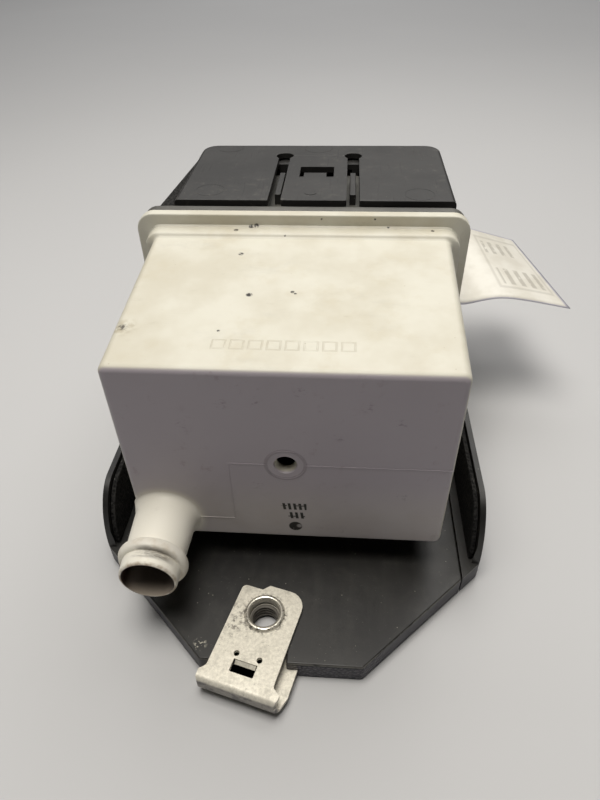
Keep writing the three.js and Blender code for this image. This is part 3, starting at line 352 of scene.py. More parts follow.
def boxPlastic():
    p = Paint("box_plastic")
    m, v = boxMarks, ventBox
    clouds = p.noise(26, 4, 0.6)
    yellowed = p.step(p.noise(12, 4, 0.65), 0.50, 0.72)
    colour = p.mix(tone(207, 204, 191), tone(196, 191, 175), p.step(clouds, 0.36, 0.64))
    colour = p.mix(colour, tone(186, 176, 150), yellowed * 0.30)
    greyed = p.step(p.noise(17, 5, 0.7, (0.6, 1, 1)), 0.54, 0.70)
    colour = p.mix(colour, tone(176, 173, 162), greyed * 0.30)
    smears = p.step(p.noise(3.2, 5, 0.7, (0.35, 1, 1)), 0.58, 0.74) * p.step(p.noise(26, 2), 0.48, 0.62)
    colour = p.mix(colour, tone(150, 142, 124), smears * 0.30)
    # painted light: the hose spigot and its root are painted lighter (240, 236, 224) than the rest of the box, standing
    # in for the light from above that falls on them
    litSpigot = p.step(p.radius(v["spigotX"], v["spigotZ"]), 12.5, 8.3) * p.step(p.y, frontY + 6, frontY - 0.5)
    colour = p.mix(colour, tone(240, 236, 224), litSpigot)
    specks = None
    for x, y, z, radius in m["specks"]:
        spot = p.near((x, y, z), radius * 1.5, 0.35) * p.step(p.noise(0.6, 2), 0.34, 0.46)
        specks = spot if specks is None else specks.highest(spot)
    halo = p.near(m["stain"], m["stainR"], 0.7) * p.step(p.noise(1.6, 3), 0.35, 0.6)
    middle = p.near(m["stain"], 1.1, 0.5) * p.step(p.noise(0.7, 2), 0.42, 0.52)
    pepper = p.step(p.cells(3.1), 0.07, 0.03) * p.step(p.noise(17, 2), 0.50, 0.60)
    colour = p.mix(colour, tone(150, 137, 108), (halo * 0.55).highest(pepper * 0.5))
    above = p.step(p.z, 76.2, 76.7)
    codeAcross = p.math("PINGPONG", p.x - m["codeX"] + 44, m["codePitch"] / 2)
    codeAlong = abs(p.y - m["codeY"])
    letter = p.within(codeAcross, 0.45, 0.85, 0.12) * p.step(codeAlong, m["codeDeep"] + 0.1, m["codeDeep"] - 0.1)
    letter = letter.highest(p.within(codeAlong, m["codeDeep"] - 0.45, m["codeDeep"], 0.12) * p.step(codeAcross, 0.5, 0.7))
    code = letter * p.step(abs(p.x - m["codeX"]), m["codeHalf"] + 0.1, m["codeHalf"] - 0.1) * above
    colour = p.mix(colour, tone(168, 160, 140), code * p.step(p.noise(5, 2), 0.3, 0.6) * 0.34)
    colour = p.mix(colour, tone(36, 31, 28), specks.highest(middle * 0.8))
    front = p.step(p.y, frontY + 0.9, frontY + 0.2)
    # painted shade: the front face, apart from the spigot, is painted a darker violet grey, darker still towards the
    # top
    colour = p.mix(colour, tone(164, 156, 165), front * (1 - litSpigot) * (0.62 + p.step(p.z, 26, 44) * 0.3))
    blotch = p.step(p.noise(4.2, 5, 0.7), 0.56, 0.72) * p.step(p.noise(19, 2), 0.44, 0.58)
    colour = p.mix(colour, tone(112, 92, 82), blotch * front * 0.30)
    marks = None
    for x, z in m["scuffs"]:
        mark = p.near((x, frontY, z), 1.3, 0.6) * p.step(p.noise(0.9, 4, 0.6, (0.5, 1, 1)), 0.52, 0.60)
        marks = mark if marks is None else marks.highest(mark)
    colour = p.mix(colour, tone(98, 90, 94), marks * front * 0.40)
    slant = p.x + p.z * 0.12
    strokes = p.step(p.math("PINGPONG", slant + 40, m["stampPitch"] / 2), 0.28, 0.40)
    second = m["stampRow"] - m["stampRows"]
    bars = None
    for centre, height, half, low, high in ((m["stampX"], m["stampRow"], m["stampHalf"], 0.15, 0.55),
                                            (m["stampX"] + 0.7, second, 2.3, -0.6, -0.2)):
        row = p.within(p.z, height - m["stampTall"], height + m["stampTall"], 0.1)
        row = row * p.step(abs(p.x - centre), half + 0.1, half - 0.1)
        link = p.within(p.z, height + low, height + high, 0.1) * p.step(p.noise(1.3, 1), 0.42, 0.5)
        row = row * strokes.highest(link)
        bars = row if bars is None else bars.highest(row)
    dot = p.near((m["dotX"], frontY, m["dotZ"]), m["dotRadius"], 0.08)
    wedge = p.near((m["dotX"] + 1.1, frontY, m["dotZ"] + 0.2), 0.7, 0.5)
    ink = bars.highest(dot * (1 - wedge * 0.7)) * front * p.step(p.noise(0.6, 3), 0.24, 0.38)
    colour = p.mix(colour, tone(14, 13, 13), ink)
    beadY = frontY - v["beadY"]
    soot = p.within(p.y, beadY - 3.6, beadY - 1.3, 0.6) * p.step(p.noise(4.5, 4, 0.6, (0.5, 2.2, 1)), 0.38, 0.62)
    soot = soot * p.step(p.z, 26, 31) * p.within(p.x, -37, -28, 3.5)
    inside = p.step(p.radius(v["spigotX"], v["spigotZ"]), v["boreR"] + 0.25, v["boreR"] + 0.05)
    inside = inside * p.step(p.y, frontY - 3, frontY - 6)
    worn = p.step(p.noise(5, 3), 0.46, 0.66) * p.step(p.y, beadY + 3, beadY)
    colour = p.mix(colour, tone(196, 182, 158), worn * 0.45)
    colour = p.mix(colour, tone(52, 45, 40), soot * 0.8)
    lipDirt = p.step(p.y, ventLow.y + 1.0, ventLow.y + 0.1)
    colour = p.mix(colour, tone(150, 128, 100), lipDirt * (0.2 + p.step(p.noise(2.5, 3), 0.4, 0.6) * 0.5))
    # painted shade inside the bore: brown black at the top of the bore, lighter (176, 164, 150) low down
    boreShade = p.mix(tone(52, 34, 28), tone(176, 164, 150), p.step(p.z, v["spigotZ"] - 1.5, v["spigotZ"] - 5.6))
    colour = p.mix(colour, boreShade, inside)
    # painted shade: a darker grey line along the ring ridge round the pressure hole
    ringShadeLine = p.within(p.radius(0, ventZ), v["discR"] - 0.5, v["discR"] + 0.5, 0.05) * front
    colour = p.mix(colour, tone(120, 112, 116), ringShadeLine * 0.35)
    grain = p.bump(p.noise(0.45, 2), 0.012)
    waves = p.bump(p.noise(13, 2), 0.10, grain)
    scratches = p.step(p.noise(1.6, 2, 0.5, (0.12, 1.6, 1)), 0.66, 0.72)
    normal = p.bump(code, 0.08, p.bump(1 - scratches, 0.014, waves))
    return p.finish(colour, 0.38 + p.noise(9, 3) * 0.18, normal, Specular_IOR_Level=0.45)


def darkPlastic(name, seen, sheen, dust, grain=0.010):  # moulded plastic with fine dust and handling marks
    p = Paint(name)
    shade = p.step(p.noise(24, 3), 0.3, 0.7)
    colour = p.mix(tone(*seen), tone(*(c * 1.22 + 2 for c in seen)), shade)
    film = p.step(p.noise(3.2, 5, 0.72), 0.52, 0.74) * p.step(p.noise(20, 2), 0.4, 0.62)
    motes = p.step(p.cells(2.6), 0.075, 0.04) * p.step(p.noise(9, 2), 0.47, 0.56)
    colour = p.mix(colour, tone(150, 145, 134), (film * 0.22 + motes * 0.7) * dust)
    rubs = p.step(p.noise(1.1, 3, 0.5, (0.9, 0.07, 1)), 0.6, 0.72)
    roughness = sheen + p.noise(7, 4, 0.6) * 0.16 + rubs * 0.10
    normal = p.bump(p.noise(0.35, 2), grain, p.bump(p.noise(16, 2), 0.10))
    return p.finish(colour, roughness, normal, Specular_IOR_Level=0.5)


def trayPlastic():
    p = Paint("tray_plastic")
    shade = p.step(p.noise(22, 4, 0.6), 0.3, 0.7)
    colour = p.mix(tone(21, 20, 20), tone(35, 34, 32), shade)
    strokes = p.step(p.noise(2.4, 5, 0.65, (1.0, 0.10, 1)), 0.46, 0.78)
    colour = p.mix(colour, tone(66, 64, 58), strokes * 0.13)
    cloudy = p.step(p.noise(5, 5, 0.7), 0.48, 0.70)
    colour = p.mix(colour, tone(70, 68, 63), cloudy * 0.16)
    motes = p.step(p.cells(2.4), 0.085, 0.03) * p.step(p.noise(8, 2), 0.44, 0.56)
    fine = p.step(p.cells(1.1), 0.10, 0.05) * p.step(p.noise(6, 2), 0.50, 0.62)
    scuffs = p.near((-21.7, -82.1, floorZ), 1.5, 0.5) * p.step(p.noise(0.7, 3), 0.52, 0.60)
    chip = p.near((55.4, -40, 24), 1.6, 0.4) * p.step(p.noise(0.8, 2), 0.45, 0.55)
    colour = p.mix(colour, tone(172, 168, 154), (motes * 0.55).highest(fine * 0.28).highest(scuffs).highest(chip))
    # painted highlight: a broken light line on the rounded rim just under the top edge of the plate and rails
    rimHighlight = p.within(p.z, floorZ - 0.60, floorZ - 0.14, 0.08) * p.step(p.noise(4, 3), 0.30, 0.5)
    colour = p.mix(colour, tone(112, 110, 104), rimHighlight * 0.6)
    # painted shade and painted blue reflection: the side faces below the top edge are painted a dark blue grey
    edge = p.step(p.z, floorZ - 1.1, floorZ - 0.7)
    colour = p.mix(tone(26, 25, 38), colour, edge)
    sponge = p.step(p.y, frontY - 26, frontY - 28) * p.step(p.x, 0, 4) * (1 - edge)
    colour = p.mix(colour, tone(78, 74, 82), sponge * p.step(p.cells(0.9), 0.55, 0.15))
    roughness = 0.34 + p.noise(6, 4, 0.6) * 0.20 + strokes * 0.06
    grain = p.bump(p.noise(0.5, 3), 0.016, p.bump(p.cells(0.9) * sponge, 0.3))
    normal = p.bump(p.noise(2.2, 4, 0.6, (1.0, 0.14, 1)), 0.02, grain)
    return p.finish(colour, roughness, normal, Specular_IOR_Level=0.5)


def foamRubber():
    p = Paint("foam")
    pores = p.cells(0.85)
    fine = p.noise(0.4, 3, 0.7)
    colour = p.mix(tone(9, 9, 9), tone(44, 43, 42), p.step(pores * 0.8 + fine * 0.5, 0.35, 0.95))
    glints = p.step(p.cells(1.3), 0.16, 0.07) * p.step(p.noise(3, 2), 0.42, 0.55)
    colour = p.mix(colour, tone(120, 118, 112), glints * 0.5)
    normal = p.bump(pores, 0.35, p.bump(fine, 0.12))
    return p.finish(colour, 0.9, normal, Specular_IOR_Level=0.25)


def zincSteel():
    p = Paint("zinc_steel")
    c = clip
    spangle = p.noise(0.9, 5, 0.75)
    colour = p.mix(tone(205, 200, 186), tone(232, 227, 213), p.step(spangle, 0.32, 0.68))
    dull = p.step(p.noise(4.5, 5, 0.75), 0.50, 0.70)
    colour = p.mix(colour, tone(150, 146, 135), dull * 0.40)
    hole = (clipHole.x, clipHole.y, clipTop)
    smudge = p.near((clipHole.x - 8.5, clipHole.y - 2.0, clipTop), 5.0, 0.6) * p.step(p.noise(1.6, 4, 0.7), 0.48, 0.66)
    colour = p.mix(colour, tone(92, 86, 78), smudge * 0.75)
    pits = p.step(p.noise(0.7, 3, 0.6), 0.67, 0.72) * p.step(p.noise(5, 2), 0.48, 0.62)
    ring = p.near(hole, c["collarR"] + 1.0, 0.10) * (1 - p.near(hole, c["collarR"] - 0.2, 0.05))
    chips = ring * p.step(p.noise(1.2, 4, 0.7), 0.50, 0.60)
    colour = p.mix(colour, tone(58, 53, 48), (pits * 0.7).highest(chips * 0.85))
    # painted shade: the front face of the clip's fold is painted dark grey
    foldY = p.y + (p.x - clipHole.x) * 0.268
    fold = p.step(foldY, clipHole.y - c["front"] * 1.035 + 1.3, clipHole.y - c["front"] * 1.035 + 0.5)
    fold = fold * p.step(p.z, clipTop - 0.7, clipTop - 1.5)
    colour = p.mix(colour, tone(98, 95, 98), fold * (0.6 + p.step(p.noise(2.5, 3), 0.4, 0.6) * 0.3))
    # painted shade: the lower leaf and nut neck round the hole, under the top leaf, are painted darker
    underLeafShade = p.near((clipHole.x, clipHole.y, clipBottom), 5.4, 0.05) * p.step(p.z, clipTop - 1.3, clipTop - 1.9)
    colour = p.mix(colour, tone(92, 88, 84), underLeafShade * 0.85)
    bright = p.near(hole, c["collarR"] + 0.2, 0.06) * p.step(p.z, clipTop + 0.1, clipTop + 0.5)
    scratch = p.step(p.noise(0.9, 2, 0.5, (0.10, 1.5, 1)), 0.66, 0.72)
    normal = p.bump(spangle, 0.02, p.bump(1 - scratch, 0.02))
    roughness = 0.44 + p.noise(3.5, 4) * 0.22 - bright * 0.26
    return p.finish(colour, roughness, normal, 0.30 + p.step(spangle, 0.4, 0.7) * 0.16 + bright * 0.4,
                    Specular_IOR_Level=0.5)


def brightSteel():
    p = Paint("bright_steel")
    turning = p.noise(0.8, 3, 0.6, (1, 1, 5))
    colour = p.mix(tone(150, 151, 153), tone(188, 189, 190), p.step(turning, 0.3, 0.7))
    return p.finish(colour, 0.26 + turning * 0.14, p.bump(turning, 0.01), 1.0)


def smoothRubber():
    p = Paint("smooth_rubber")
    bloom = p.step(p.noise(4, 4, 0.7), 0.45, 0.7)
    colour = p.mix(tone(24, 24, 25), tone(48, 47, 46), bloom)
    return p.finish(colour, 0.62 + bloom * 0.15, p.bump(p.noise(0.5, 2), 0.01), Specular_IOR_Level=0.4)


def filterFelt():
    p = Paint("filter_felt")
    fibres = p.noise(0.5, 4, 0.75, (1, 1, 0.25))
    dirt = p.step(p.noise(8, 4, 0.6), 0.45, 0.7)
    colour = p.mix(tone(214, 210, 198), tone(168, 160, 142), dirt * 0.7)
    return p.finish(colour, 0.95, p.bump(fibres, 0.15), Specular_IOR_Level=0.2)


def labelFilm():
    p = Paint("label_film")
    sheet = p.node("ShaderNodeUVMap").outputs[0]
    split = p.node("ShaderNodeSeparateXYZ", {}, {0: sheet})
    across, along = Value(p, split.outputs[0]), Value(p, split.outputs[1])
    paper = p.mix(tone(228, 225, 216), tone(216, 212, 201), p.step(p.noise(9, 3), 0.35, 0.65))
    panel = p.within(across, 0.14, 0.90, 0.008) * p.within(along, 0.80, 0.970, 0.004)
    inner = p.within(across, 0.17, 0.87, 0.008) * p.within(along, 0.811, 0.962, 0.004)
    strokes = p.step(p.math("PINGPONG", along, 0.015), 0.006, 0.010)
    low = strokes * p.within(across, 0.20, 0.42, 0.01) * p.within(along, 0.825, 0.955, 0.004)
    high = strokes * p.within(across, 0.64, 0.82, 0.01) * p.within(along, 0.82, 0.92, 0.004)
    printed = low.highest(high) * p.step(p.noise(1.9, 3), 0.30, 0.46)
    printed = printed * 0.55 + panel * (1 - inner) * 0.30
    colour = p.mix(paper, tone(158, 153, 142), printed)
    rim = 1 - p.within(across, 0.015, 0.985, 0.008) * p.within(along, -1.0, 0.985, 0.008)
    colour = p.mix(colour, tone(150, 150, 186), rim * 0.55)
    normal = p.bump(p.noise(9, 3), 0.12)
    return p.finish(colour, 0.38 + p.noise(4, 3) * 0.15, normal, Alpha=0.93, Specular_IOR_Level=0.5)


paints = {
    "box": boxPlastic(),
    "grey": darkPlastic("grey_plastic", (70, 69, 65), 0.40, 0.5),
    "cover": darkPlastic("cover_plastic", (34, 33, 32), 0.36, 0.8),
    "tray": trayPlastic(),
    "foam": foamRubber(),
    "zinc": zincSteel(),
    "steel": brightSteel(),
    "rubber": smoothRubber(),
    "felt": filterFelt(),
    "film": labelFilm(),
}
print("paints made")


# ---- vent box: box, collar, mouth flange and hose spigot in one moulding



def ventShell():
    v = ventBox
    flangeX, flangeZ = ventHigh.x, ventHigh.z - ventZ
    collarY, flangeY = frontY + v["depth"], frontY + v["depth"] + v["collar"]
    bm = bmesh.new()
    outline = []
    for angle in arc(0, 90, 6):  # rounded front edge
        inset = v["edge"] * (1 - math.sin(angle))
        outline.append((v["halfX"] - inset, v["halfZ"] - inset, max(v["corner"] - inset, 0.5),
                        frontY + v["edge"] * (1 - math.cos(angle))))
    outline.append((v["mouthX"], v["mouthZ"], v["corner"], collarY - 1.2))
    for angle in arc(90, 0, 4):  # hollow fillet up to the collar
        rise = 1.2 * (1 - math.sin(angle))
        outline.append((v["mouthX"] + rise, v["mouthZ"] + rise * 0.6, v["corner"] + rise, collarY - 1.2 * math.cos(angle)
                        if angle else collarY - 1.2 + 1.2))
    outline = outline[:-5] + [(v["mouthX"] + 0.9 * t * t, v["mouthZ"] + 0.5 * t * t, v["corner"] + t,
                               collarY - 1.4 + 1.2 * t) for t in (0.35, 0.7, 1.0)]
    outline += [
        (v["collarX"] - 1.0, v["collarZ"] - 0.35, v["collarCorner"] - 0.8, collarY),
        (v["collarX"] - 0.3, v["collarZ"] - 0.1, v["collarCorner"] - 0.3, collarY + 0.35),
        (v["collarX"], v["collarZ"], v["collarCorner"], collarY + 1.0),
        (v["collarX"], v["collarZ"], v["collarCorner"], flangeY - 0.5),
        (v["collarX"] + 0.5, v["collarZ"] + 0.5, v["collarCorner"] + 0.2, flangeY),
    ]
    for angle in arc(0, 90, 4):  # flange's rounded front rim
        inset = v["lip"] * (1 - math.sin(angle))
        outline.append((flangeX - inset, flangeZ - inset, v["flangeCorner"] - inset,
                        flangeY + v["lip"] * (1 - math.cos(angle))))
    outline += [(flangeX, flangeZ, v["flangeCorner"], ventHigh.y - 0.3),
                (flangeX - 0.3, flangeZ - 0.3, v["flangeCorner"] - 0.3, ventHigh.y)]
    wall = v["wall"]
    outline += [(v["mouthX"] - wall, v["mouthZ"] - wall, 1.4, ventHigh.y),
                (v["mouthX"] - wall, v["mouthZ"] - wall, 1.4, collarY),
                (v["halfX"] - wall, v["halfZ"] - wall, 1.4, frontY + wall)]
    loops = [loop(bm, halfX, halfZ, radius, y, 0, ventZ) for halfX, halfZ, radius, y in outline]
    skin(bm, loops)
    return bm


def hoseSpigot():
    v = ventBox
    bm = bmesh.new()
    tip, bead = ventLow.y, frontY - v["beadY"]
    end = v["tipR"]
    profile = [(0, tip), (end - 0.5, tip), (end - 0.15, tip + 0.2), (end, tip + 0.6)]
    swell = v["beadR"] - v["noseR"]
    profile += [(v["noseR"] + swell * math.sin(a) ** 0.75, bead - v["beadHalf"] * math.cos(a)) for a in arc(0, 180, 14)]
    profile.append((v["noseR"] + 0.1, bead + v["beadHalf"] + 0.5))
    profile += [(v["rootR"] + v["fillet"] * (1 - math.cos(a)), frontY - v["fillet"] * 1.8 * (1 - math.sin(a)))
                for a in arc(0, 90, 8)]
    profile += [(v["rootR"] + v["fillet"], frontY + 1), (0, frontY + 1)]
    spun(bm, profile, (v["spigotX"], 0, v["spigotZ"]), "Y", 72)
    for point, normal in (((-v["halfX"], 0, 0), (-1, 0, 0)), ((0, 0, v["spigotZ"] - v["rootR"]), (0, 0, -1))):
        bmesh.ops.bisect_plane(bm, geom=bm.verts[:] + bm.edges[:] + bm.faces[:], plane_co=point, plane_no=normal,
                               clear_outer=True)
        bmesh.ops.holes_fill(bm, edges=[e for e in bm.edges if e.is_boundary])
    bmesh.ops.recalc_face_normals(bm, faces=bm.faces)
    return bm


def ventBoxPiece():
    v = ventBox
    shell = combined(ventShell(), hoseSpigot(), "UNION")
    tools = bmesh.new()
    rod(tools, v["boreR"], frontY - ventLow.y + 6, (v["spigotX"], ventLow.y - 2, v["spigotZ"]), "Y", 64)
    spun(tools, [(0, -2), (v["tapLipR"], -2), (v["tapLipR"], v["discDeep"]), (v["tapR"] + 0.15, v["tapLip"]),
                 (v["tapR"], v["tapLip"] + 0.4), (v["tapR"], 4), (0, 4)], (0, frontY, ventZ), "Y", 48)
    return combined(shell, tools, "DIFFERENCE")


ventPiece = piece("vent_box_moulding", ventBoxPiece(), paints["box"], "vent", ["vent_box"],
                  edge=0.35, sharp=40)
print("vent box made")


def partingLine():  # thin ridge that the mould left on the front face, and the ring round the pressure hole
    v = ventBox
    bm = bmesh.new()
    half, proud = 0.12, 0.12
    y0, y1 = frontY - proud, frontY + 0.1
    turnX, dropZ = -14.9, v["spigotZ"]
    block(bm, v["discR"], v["halfX"] - 0.4, y0, y1, ventZ - half, ventZ + half)
    block(bm, turnX - half, -v["discR"], y0, y1, ventZ - half, ventZ + half)
    block(bm, turnX - half, turnX + half, y0, y1, dropZ + half, ventZ - half)
    block(bm, v["spigotX"] + v["rootR"] + v["fillet"] - 0.3, turnX + half, y0, y1, dropZ - half, dropZ + half)
    spun(bm, [(v["discR"] - half, -proud), (v["discR"] + half, -proud), (v["discR"] + half, 0.1),
              (v["discR"] - half, 0.1)], (0, frontY, ventZ), "Y", 72)
    return bm


piece("mould_line", partingLine(), paints["box"], "vent")


# ---- mouth frame behind the box, its gasket and the foam ring on its neck

mouthFrame = {"ductX": 38.9, "ductZ": 30.95, "wall": 2.0, "corner": 3.0, "flange": 3.4, "flangeCorner": 5.2,
              "ledge": 6.0, "ledgeY": 13.4, "ledgeThick": 2.8, "ribTall": 3.6, "ribHalf": 1.0, "slotX": 12.525}


def mouthFrameShell():
    m = mouthFrame
    bm = bmesh.new()
    flangeX, flangeZ = frameHigh.x, frameHigh.z - ventZ
    low, high = frameLow.y, frameHigh.y
    bore = (m["ductX"] - m["wall"], m["ductZ"] - m["wall"], m["corner"] - 1)
    ledge = (bore[0] - m["ledge"], bore[1] - m["ledge"], 2.0)
    outline = [
        (*bore, low, ductX), (flangeX - 0.4, flangeZ - 0.4, m["flangeCorner"] - 0.4, low, 0),
        (flangeX, flangeZ, m["flangeCorner"], low + 0.4, 0),
        (flangeX, flangeZ, m["flangeCorner"], low + m["flange"] - 0.6, 0),
        (flangeX - 0.2, flangeZ - 0.2, m["flangeCorner"] - 0.2, low + m["flange"] - 0.2, 0),
        (flangeX - 0.6, flangeZ - 0.6, m["flangeCorner"] - 0.6, low + m["flange"], 0),
        (m["ductX"], m["ductZ"], m["corner"], low + m["flange"], ductX), (m["ductX"], m["ductZ"], m["corner"], high, ductX),
        (*bore, high, ductX), (*bore, low + m["ledgeY"] + m["ledgeThick"], ductX),
        (*ledge, low + m["ledgeY"] + m["ledgeThick"], ductX), (*ledge, low + m["ledgeY"], ductX),
        (*bore, low + m["ledgeY"], ductX),
    ]
    loops = [loop(bm, halfX, halfZ, radius, y, x, ventZ) for halfX, halfZ, radius, y, x in outline]
    skin(bm, loops, "joined")
    return bm


def ductRibs():
    m = mouthFrame
    bm = bmesh.new()
    top = ventZ + m["ductZ"]
    y0, y1 = coverLow.y + 11, coverLow.y + 31
    for x in (-m["slotX"] - 15, -m["slotX"], m["slotX"], m["slotX"] + 15):
        block(bm, ductX + x - m["ribHalf"], ductX + x + m["ribHalf"], y0, y1, top - 0.5, top + m["ribTall"])
    barbY, barbTop = tongueLow.y + 20.9, coverHigh.z - 0.5
    block(bm, ductX - 4.6, ductX + 3.4, barbY, barbY + 5.0, top - 0.5, barbTop)
    return bm


piece("mouth_frame_moulding", mouthFrameShell(), paints["grey"], "vent", ["mouth_frame"], edge=0.25,
      sharp=50)
# painted shade: the ribs and barb take the dark cover paint, darker than the grey frame they stand on, so they read as
# in shade inside the slots
piece("duct_ribs", ductRibs(), paints["cover"], "vent", edge=0.2)


def gasketSheet():
    low, high = span("flange_gasket")
    bm = bmesh.new()
    halfX, halfZ = high.x, high.z - ventZ
    edges = [(halfX, halfZ, 5.0, low.y), (halfX, halfZ, 5.0, high.y), (42.75, 30.0, 2.0, high.y), (42.75, 30.0, 2.0, low.y)]
    skin(bm, [loop(bm, x, z, r, y, 0, ventZ) for x, z, r, y in edges], "joined")
    return bm


piece("gasket_sheet", gasketSheet(), paints["rubber"], "vent", ["flange_gasket"])


def neckFoam():
    low, high = span("neck_seal")
    bm = bmesh.new()
    x, z = high.x - ductX, high.z - ventZ
    middle = (low.y + high.y) / 2
    edges = [(x - 0.7, z - 0.7, 5.0, low.y), (x, z, 5.4, low.y + 0.8), (x + 0.1, z + 0.1, 5.5, middle),
             (x, z, 5.4, high.y - 0.8), (x - 0.7, z - 0.7, 5.0, high.y), (x - 3.0, z - 3.0, 3.2, high.y),
             (x - 3.0, z - 3.0, 3.2, low.y)]
    skin(bm, [loop(bm, a, b, r, y, ductX, ventZ) for a, b, r, y in edges], "joined")
    return bm


piece("neck_foam", neckFoam(), paints["foam"], "vent", ["neck_seal"])
print("mouth frame made")


# ---- end cover, its latch tongue, grille and filter

endCover = {"wall": 2.0, "rearRound": 6.0, "sideRound": 2.6, "rim": 1.0, "slot": 4.15, "keyR": 3.1, "grilleX": 32.0,
            "grilleZ": 22.0, "bossR": 4.0, "bossRise": 4.6, "bossApart": 30.0, "markR": 4.75}


def coverBlock(grow, x0, x1, y0, y1, z0, z1):
    e = endCover
    bm = bmesh.new()
    block(bm, x0, x1, y0, y1, z0, z1)
    upright = [g for g in bm.edges if all(abs(v.co.y - y1) < 1e-4 for v in g.verts)
               and abs(g.verts[0].co.x - g.verts[1].co.x) < 1e-4]
    bmesh.ops.bevel(bm, geom=upright, offset=max(e["rearRound"] + grow, 0.5), offset_type="OFFSET", segments=10,
                    profile=0.5, affect="EDGES", material=-1)
    along = [g for g in bm.edges if abs(g.verts[0].co.x - g.verts[1].co.x) < 1e-4
             and abs(g.verts[0].co.z - g.verts[1].co.z) < 1e-4 and g.calc_length() > 30]
    rear = [g for g in bm.edges if abs(g.verts[0].co.z - g.verts[1].co.z) < 1e-4 and g not in along
            and min(v.co.y for v in g.verts) > y0 + 1]
    bmesh.ops.bevel(bm, geom=along + rear, offset=max(e["sideRound"] + grow * 0.6, 0.4) * 0.55, offset_type="OFFSET",
                    segments=5, profile=0.5, affect="EDGES", material=-1)
    return bm


def coverShell():
    e = endCover
    bottom = 2 * ventZ - coverHigh.z
    outer = coverBlock(0, coverLow.x, coverHigh.x, coverLow.y, coverHigh.y, bottom, coverHigh.z)
    w = e["wall"]
    inner = coverBlock(-w, coverLow.x + w, coverHigh.x - w, coverLow.y - 8, coverHigh.y - w, bottom + w, coverHigh.z - w)
    shell = combined(outer, inner, "DIFFERENCE")
    posts = bmesh.new()
    rows = (coverLow.y + 10.2, frameHigh.y - 6)
    for y in rows:
        for side in (-1, 1):
            rod(posts, e["bossR"], bottom + e["bossRise"] - coverLow.z, (ductX + side * e["bossApart"], y, coverLow.z))
    shell = combined(shell, posts, "UNION")
    tools = bmesh.new()
    rootY = tongueHigh.y + 0.3
    half = tongueHigh.x - ductX
    prism(tools, [(ductX - half - e["slot"], coverLow.y - 1), (ductX + half + e["slot"], coverLow.y - 1),
                  (ductX + half + e["slot"], rootY), (ductX - half - e["slot"], rootY)],
          coverHigh.z - w - 1.5, coverHigh.z + 1)
    shell = combined(shell, tools, "DIFFERENCE")
    tools = bmesh.new()
    for side in (-1, 1):
        rod(tools, e["keyR"], 6, (ductX + side * (half + e["slot"] / 2), rootY, coverHigh.z - w - 2), "Z", 40)
    for y in rows:
        for side in (-1, 1):
            rod(tools, 1.8, 12, (ductX + side * e["bossApart"], y, coverLow.z - 2), "Z", 24)
    skin(tools, [loop(tools, e["grilleX"], e["grilleZ"], 2.0, y, ductX, ventZ) for y in (coverHigh.y - 5, coverHigh.y + 2)])
    return combined(shell, tools, "DIFFERENCE")


piece("cover_shell", coverShell(), paints["cover"], "vent", ["end_cover"], edge=0.28, sharp=42)


def ejectorRings():  # shallow round ridges where the mould's pins stood, on the top and the tongue
    e = endCover
    bm = bmesh.new()
    top = coverHigh.z
    for x, y, radius in ((-31.4, 33.9, e["markR"]), (36.9, 31.2, e["markR"]), (2.6, 76.0, e["markR"] * 1.1),
                         (-31.0, 76.2, e["markR"])):
        outer = bmesh.new()
        spun(outer, [(radius - 0.13, -0.05), (radius + 0.13, -0.05), (radius + 0.08, 0.05), (radius - 0.08, 0.05)],
             (x, y, top), "Z", 56)
        bmesh.ops.bisect_plane(outer, geom=outer.verts[:] + outer.edges[:] + outer.faces[:],
                               plane_co=(0, coverHigh.y - 1.6, 0), plane_no=(0, 1, 0), clear_outer=True)
        bmesh.ops.holes_fill(outer, edges=[g for g in outer.edges if g.is_boundary])
        joined(bm, outer)
    return bm


piece("ejector_rings", ejectorRings(), paints["cover"], "vent")

latchTongue = {"windowHalf": 5.9, "windowY": 20.5, "windowLong": 9.6, "keyR": 3.1, "slot": 4.15, "arcY": 6.4, "arcR": 1.9}


def tonguePlate():
    t = latchTongue
    bm = bmesh.new()
    low, high = tongueLow, tongueHigh
    prism(bm, [(low.x, low.y), (high.x, low.y), (high.x, high.y), (low.x, high.y)], low.z, high.z, ((0, 0.7), (1, 0.7)))
    tools = bmesh.new()
    y = low.y + t["windowY"]
    prism(tools, [(ductX - t["windowHalf"], y), (ductX + t["windowHalf"], y),
                  (ductX + t["windowHalf"], y + t["windowLong"]), (ductX - t["windowHalf"], y + t["windowLong"])],
          low.z - 2, high.z + 2, ((0, 0.5), (1, 0.5), (2, 0.5), (3, 0.5)))
    for side in (-1, 1):
        rod(tools, t["keyR"], 6, (ductX + side * (high.x - ductX + t["slot"] / 2), high.y + 0.3, low.z - 2), "Z", 40)
    return combined(bm, tools, "DIFFERENCE")


piece("latch_tongue_plate", tonguePlate(), paints["cover"], "latch", ["latch_tongue"], edge=0.25)


def thumbArc():  # small curved ridge in front of the latch window
    t = latchTongue
    bm = bmesh.new()
    spun(bm, [(t["arcR"] - 0.16, -0.05), (t["arcR"] + 0.16, -0.05), (t["arcR"] + 0.1, 0.12), (t["arcR"] - 0.1, 0.12)],
         (ductX - 1.2, tongueLow.y + t["arcY"], tongueHigh.z), "Z", 40)
    for normal in ((0, 1, 0),):
        bmesh.ops.bisect_plane(bm, geom=bm.verts[:] + bm.edges[:] + bm.faces[:],
                               plane_co=(0, tongueLow.y + t["arcY"] - 0.4, 0), plane_no=normal, clear_outer=True)
        bmesh.ops.holes_fill(bm, edges=[g for g in bm.edges if g.is_boundary])
    return bm


piece("thumb_arc", thumbArc(), paints["cover"], "latch")


